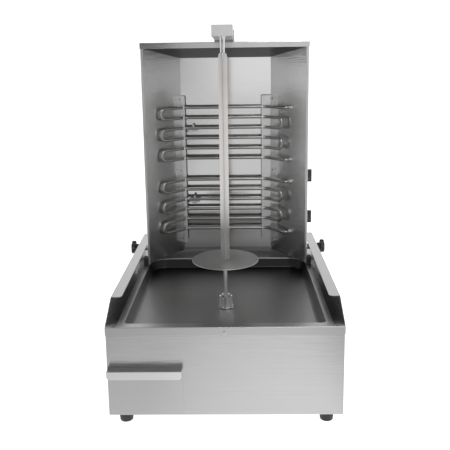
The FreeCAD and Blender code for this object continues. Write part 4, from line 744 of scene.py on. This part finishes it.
def control_knob(which):
    """A fluted skirt and hub turned about the shaft, a rounded grip bar across them and a pale pointer."""
    node = which + "_control_knob"
    low, high, middle = box_of(node)
    radius, length = (high[2] - low[2]) / 2, high[0] - low[0]
    profile = bent([(0, 0), (radius, 0), (radius - 0.0015, 0.005), (0.0129, 0.0046), (0.0117, length - 0.002),
                    (0, length - 0.0016)], [0.0004, 0.0008, 0.0005, 0.0012], 5)
    reach, height = profile[:, :1], profile[:, 1:]
    angle = circle(160)
    flute = np.clip((reach - radius + 0.0028) / 0.0008, 0, 1) * (0.5 - 0.5 * np.cos(40 * angle))
    reach = reach - 0.0006 * flute
    centre = (low[0], middle[1], middle[2])
    body = about(reach * np.cos(angle), reach * np.sin(angle), height, centre, (1, 0, 0))
    share = np.array([0, 1, 1, 0.97, 0.88, 0.7, 0])
    rise = np.array([0.004, 0.004, length - 0.0016, length - 0.0006, length - 0.0001, length, length])
    outline = rounded_loops(0.004 * share, 0.004 * share + radius - 0.0061, 0.0039 * share, 7)
    grip = about(*outline, rise[:, None], centre, (1, 0, 0))
    skin(node + "_moulded", [body, grip], knob_black, (node,), 45)
    pointer_place = (centre[0], centre[1], centre[2] + radius - 0.009)
    line = slab(0.0007, 0.0045, EDGE, length - 0.0002, 0.0004, 0.0001, pointer_place, (1, 0, 0))
    skin(which + "_control_pointer", [line], pointer_white, (), 45, node=node)


HEAD_RADIUS, HEAD_HEIGHT, SHANK_RADIUS = 0.0034, 0.0022, 0.002


def pan_head(centre, ahead, length=0.0):
    """A pan-head screw with a cross recess, as one surface from its tip to the middle of its head.

    The dome falls as the square of the radius. The recess is two crossed slots, each as deep as the product
    of two ramps: one falls off across its width and one at its ends.
    """
    share = np.concatenate(([1, 1, 0.97], np.linspace(0.92, 0.02, 12), [0]))[:, None]
    angle = circle(48)
    side, over = share * np.cos(angle), share * np.sin(angle)

    def slot(near, far):
        return np.clip((0.17 - np.abs(near)) / 0.06, 0, 1) * np.clip((0.62 - np.abs(far)) / 0.08, 0, 1)

    rise = (1 - 0.45 * share ** 2 - 0.75 * np.maximum(slot(side, over), slot(over, side))) * HEAD_HEIGHT
    rise[0] = 0
    stem = np.array([0, SHANK_RADIUS, SHANK_RADIUS])[:, None] / HEAD_RADIUS
    side = np.concatenate((stem * np.cos(angle), side))
    over = np.concatenate((stem * np.sin(angle), over))
    rise = np.concatenate((np.array([-length, -length, 0])[:, None] + 0 * angle, rise))
    return about(side * HEAD_RADIUS, over * HEAD_RADIUS, rise, centre, ahead)


def hexagon_bolt(centre, corner, height, stem, length):
    """An upright bolt with a six-sided head, whose top edge is cut back to a circle.

    The head's radius is the flat's distance over the cosine of the angle from the flat's middle.
    """
    angle = circle(48)
    flat = corner * math.cos(math.pi / 6)
    outline = flat / np.cos(angle % (math.pi / 3) - math.pi / 6)
    whole = np.ones_like(angle)
    chamfered = np.minimum(outline, flat * 1.01)
    radius = np.stack((0 * whole, stem * whole, stem * whole, outline, outline, chamfered, 0 * whole))
    rise = np.array([-length, -length, 0, 0, height - 0.0005, height, height])[:, None]
    return about(radius * np.cos(angle), radius * np.sin(angle), rise, centre)


def screws():
    """The screws that show: the pan's, the racks', the rear cover's and the arm guides'.

    The racks' screws lie square to the slanted wings, so their heads' reach from the corner of their box is
    split by the slant.
    """
    low, high, middle = box_of("pan_screw")
    pan = pan_head((middle[0], low[1] + HEAD_HEIGHT, middle[2]), (0, -1, 0), high[1] - low[1] - HEAD_HEIGHT)
    skin("pan_screw_turned", [pan], fastener, ("pan_screw",), 35)

    low, high, middle = box_of("rear_cover_screws")
    rear = [pan_head((x, high[1] - HEAD_HEIGHT, z), (0, 1, 0), high[1] - low[1] - HEAD_HEIGHT)
            for x in (low[0] + HEAD_RADIUS, high[0] - HEAD_RADIUS)
            for z in (low[2] + HEAD_RADIUS, middle[2], high[2] - HEAD_RADIUS)]
    skin("rear_cover_screws_turned", rear, fastener, ("rear_cover_screws",), 35)

    low, high, middle = box_of("rack_screws")
    wing_slant = math.radians(34.7)
    inward, forward = math.cos(wing_slant), math.sin(wing_slant)
    racks = [pan_head((side * (high[0] - HEAD_RADIUS * forward), high[1] - HEAD_RADIUS * inward, z),
                      (-side * inward, -forward, 0)) for side in (-1, 1)
             for z in (low[2] + HEAD_RADIUS, middle[2], high[2] - HEAD_RADIUS)]
    skin("rack_screws_turned", racks, fastener, ("rack_screws",), 35)

    low, high, middle = box_of("guide_fasteners")
    corner, bolt_head, stem, clear = 0.0058, 0.004, 0.003, 0.00005
    half_flats = corner * math.cos(math.pi / 6)
    under = high[2] - bolt_head
    length = under - box_of("arm_channel")[1][2] - clear
    bolts = [hexagon_bolt((middle[0], y, under), corner, bolt_head, stem, length)
             for y in (low[1] + half_flats, high[1] - half_flats)]
    foot_screws = [pan_head((x, high[1] - half_flats, low[2]), (0, 0, 1))
                   for x in (low[0] + HEAD_RADIUS, high[0] - HEAD_RADIUS)]
    skin("guide_fasteners_turned", bolts + foot_screws, fastener, ("guide_fasteners",), 35)


drip_pan()
skewer_bar()
meat_disc()
drive_socket()
feet()
for side in ("left", "right"):
    clamp_knob(side)
for which in ("upper", "lower"):
    control_knob(which)
screws()

# Folded nodes by the outer radius of their bends.
FOLDED = {
    0.0018: ["left_cover", "right_cover"],
    0.0016: ["drawer_front", "cabinet_cap", "base_left_side", "base_right_side", "left_guard", "right_guard",
             "drawer_runners"],
    0.0010: ["drawer_box"],
    0.0008: ["arm_guides", "motor_bracket", "sensor_clips", "slide_blocks", "left_rack", "right_rack"],
}
FINISH_OF = {name: material for material, names in FINISHES.items() for name in names}
for bend, names in FOLDED.items():
    for name in names:
        eased(name, FINISH_OF[name], bend)


# ---------------------------------------------------------------------------------------------------
# Studio
# ---------------------------------------------------------------------------------------------------
def staged(name, grids, finish):
    """Put sheets of points in the scene as a part of the studio."""
    mesh = joined(name, grids)
    mesh.materials.append(finish.material)
    thing = bpy.data.objects.new(name, mesh)
    bpy.context.scene.collection.objects.link(thing)
    return thing


def wide_floor():
    """A level disc of pale paper. Its glow keeps it pale away from the lamps: least in front, most behind."""
    finish = Finish("floor_paper")
    cloud = finish.noise(2.0, 2.0, 0.5)
    glow = finish.rise(finish.along("Y"), -1.1, -0.2, 0.55, 1.0)
    finish.close(Base_Color=finish.blend(cloud, grey(0.49), grey(0.51)), Roughness=0.9,
                 Emission_Color=finish.light(glow), Emission_Strength=1.0)
    rings = np.array([[14, 0], [8, 0], [4, 0], [2, 0], [1, 0], [0.5, 0], [0, 0]])
    staged("Floor", [turned(rings, (0, 0, 0), angles=circle(96))], finish)


# Brightness across the sky and the cards: places from left to right, each with its level.
SKY_SIDES = [(0.0, 0.45), (0.28, 0.48), (0.36, 0.62), (0.43, 0.42), (0.50, 1.12), (0.62, 1.12), (0.75, 0.85),
             (0.88, 0.80), (1.0, 0.62)]
NEAR_GLOW = [(0.10, 0.66), (0.20, 0.82), (0.32, 0.86), (0.42, 1.02), (0.52, 1.12), (0.66, 1.20), (0.74, 1.18),
             (0.80, 0.98), (0.87, 0.65), (1.0, 0.50)]
FAR_GLOW = [(0.0, 0.25), (0.38, 0.30), (0.46, 0.85), (0.54, 0.85), (0.62, 0.75), (1.0, 0.75)]


def graded_sky():
    """A sky that looks white itself and lights as a studio does.

    It has a bright band round the horizon, brighter at the right of the front than at its left, a darker
    ceiling in front and a pale one behind.
    """
    world = bpy.data.worlds.new("Sky")
    bpy.context.scene.world = world
    sky = Finish("Sky", world)
    ray = sky.node("TexCoord", {}, {}, "Generated")
    height = sky.along("Z", ray)
    behind = sky.rise(sky.along("Y", ray), -0.45, 0.35)
    front = sky.curve(sky.along("X", ray) * 0.5 + 0.5, SKY_SIDES) * (1 - sky.rise(height, 0.14, 0.46) * 0.5)
    rear = 1.05 - sky.rise(height, 0.45, 0.95) * 0.65
    level = front + behind * (rear - front)
    seen = sky.node("LightPath", {}, {}, "Is Camera Ray")
    glow = sky.node("Background", {}, {"Color": sky.light(level + seen * (1.2 - level)), "Strength": 1.0})
    sky.node("OutputWorld", {}, {"Surface": glow})


def card(name, grid, finish, glow):
    """A black card with a glow of its own, that only reflections see."""
    finish.close(Base_Color=grey(0.0), Roughness=1.0, Emission_Color=finish.light(glow),
                 Emission_Strength=1.0)
    sheet = staged(name, [grid], finish)
    sheet.visible_camera = sheet.visible_diffuse = sheet.visible_shadow = False


def lying_card(name, width, back, stops, far_share):
    """A card that lies before the grill, so that wide panels don't reflect an even brightness.

    Its glow follows the stops across its width, times a share that goes smoothly from one value at its far
    edge to one at its near edge.
    """
    finish = Finish(name)
    across = finish.curve(finish.along("X") / width + 0.5, stops)
    nearer = finish.rise(finish.along("Y"), *back, far_share, 1.0)
    x, y = np.meshgrid(np.linspace(-width, width, 5), np.linspace(*back, 5))
    card(name, np.stack((x, y, x * 0 + 0.001), axis=-1), finish, across * nearer)


def upright_card(name, across, back, height, glow):
    """A card that stands level with the cap, with one brightness all over."""
    x, z = np.meshgrid(np.linspace(*across, 3), np.linspace(*height, 3))
    card(name, np.stack((x, x * 0 + back, z), axis=-1), Finish(name), glow)


def soft_light(name, place, target, size, power):
    """A square light that faces a target and isn't itself seen."""
    data = bpy.data.lights.new(name, "AREA")
    data.shape = "SQUARE"
    data.size = size
    data.energy = power
    lamp = bpy.data.objects.new(name, data)
    bpy.context.scene.collection.objects.link(lamp)
    lamp.location = place
    lamp.rotation_euler = (Vector(target) - Vector(place)).to_track_quat("-Z", "Y").to_euler()
    lamp.visible_camera = False


bpy.context.scene.view_settings.view_transform = "Standard"
graded_sky()
wide_floor()
lying_card("Near card", 1.0, (-1.3, -0.33), NEAR_GLOW, 0.72)
lying_card("Far card", 6.0, (-7.0, -1.31), FAR_GLOW, 1.0)
upright_card("Cap flag", (-0.46, -0.20), -0.55, (0.78, 0.96), 0.04)
upright_card("Side card", (-1.25, -0.65), -1.1, (0.80, 1.2), 1.7)
soft_light("Overhead", (0.35, -0.75, 1.5), (0.3, -0.45, 0), 0.5, 6)
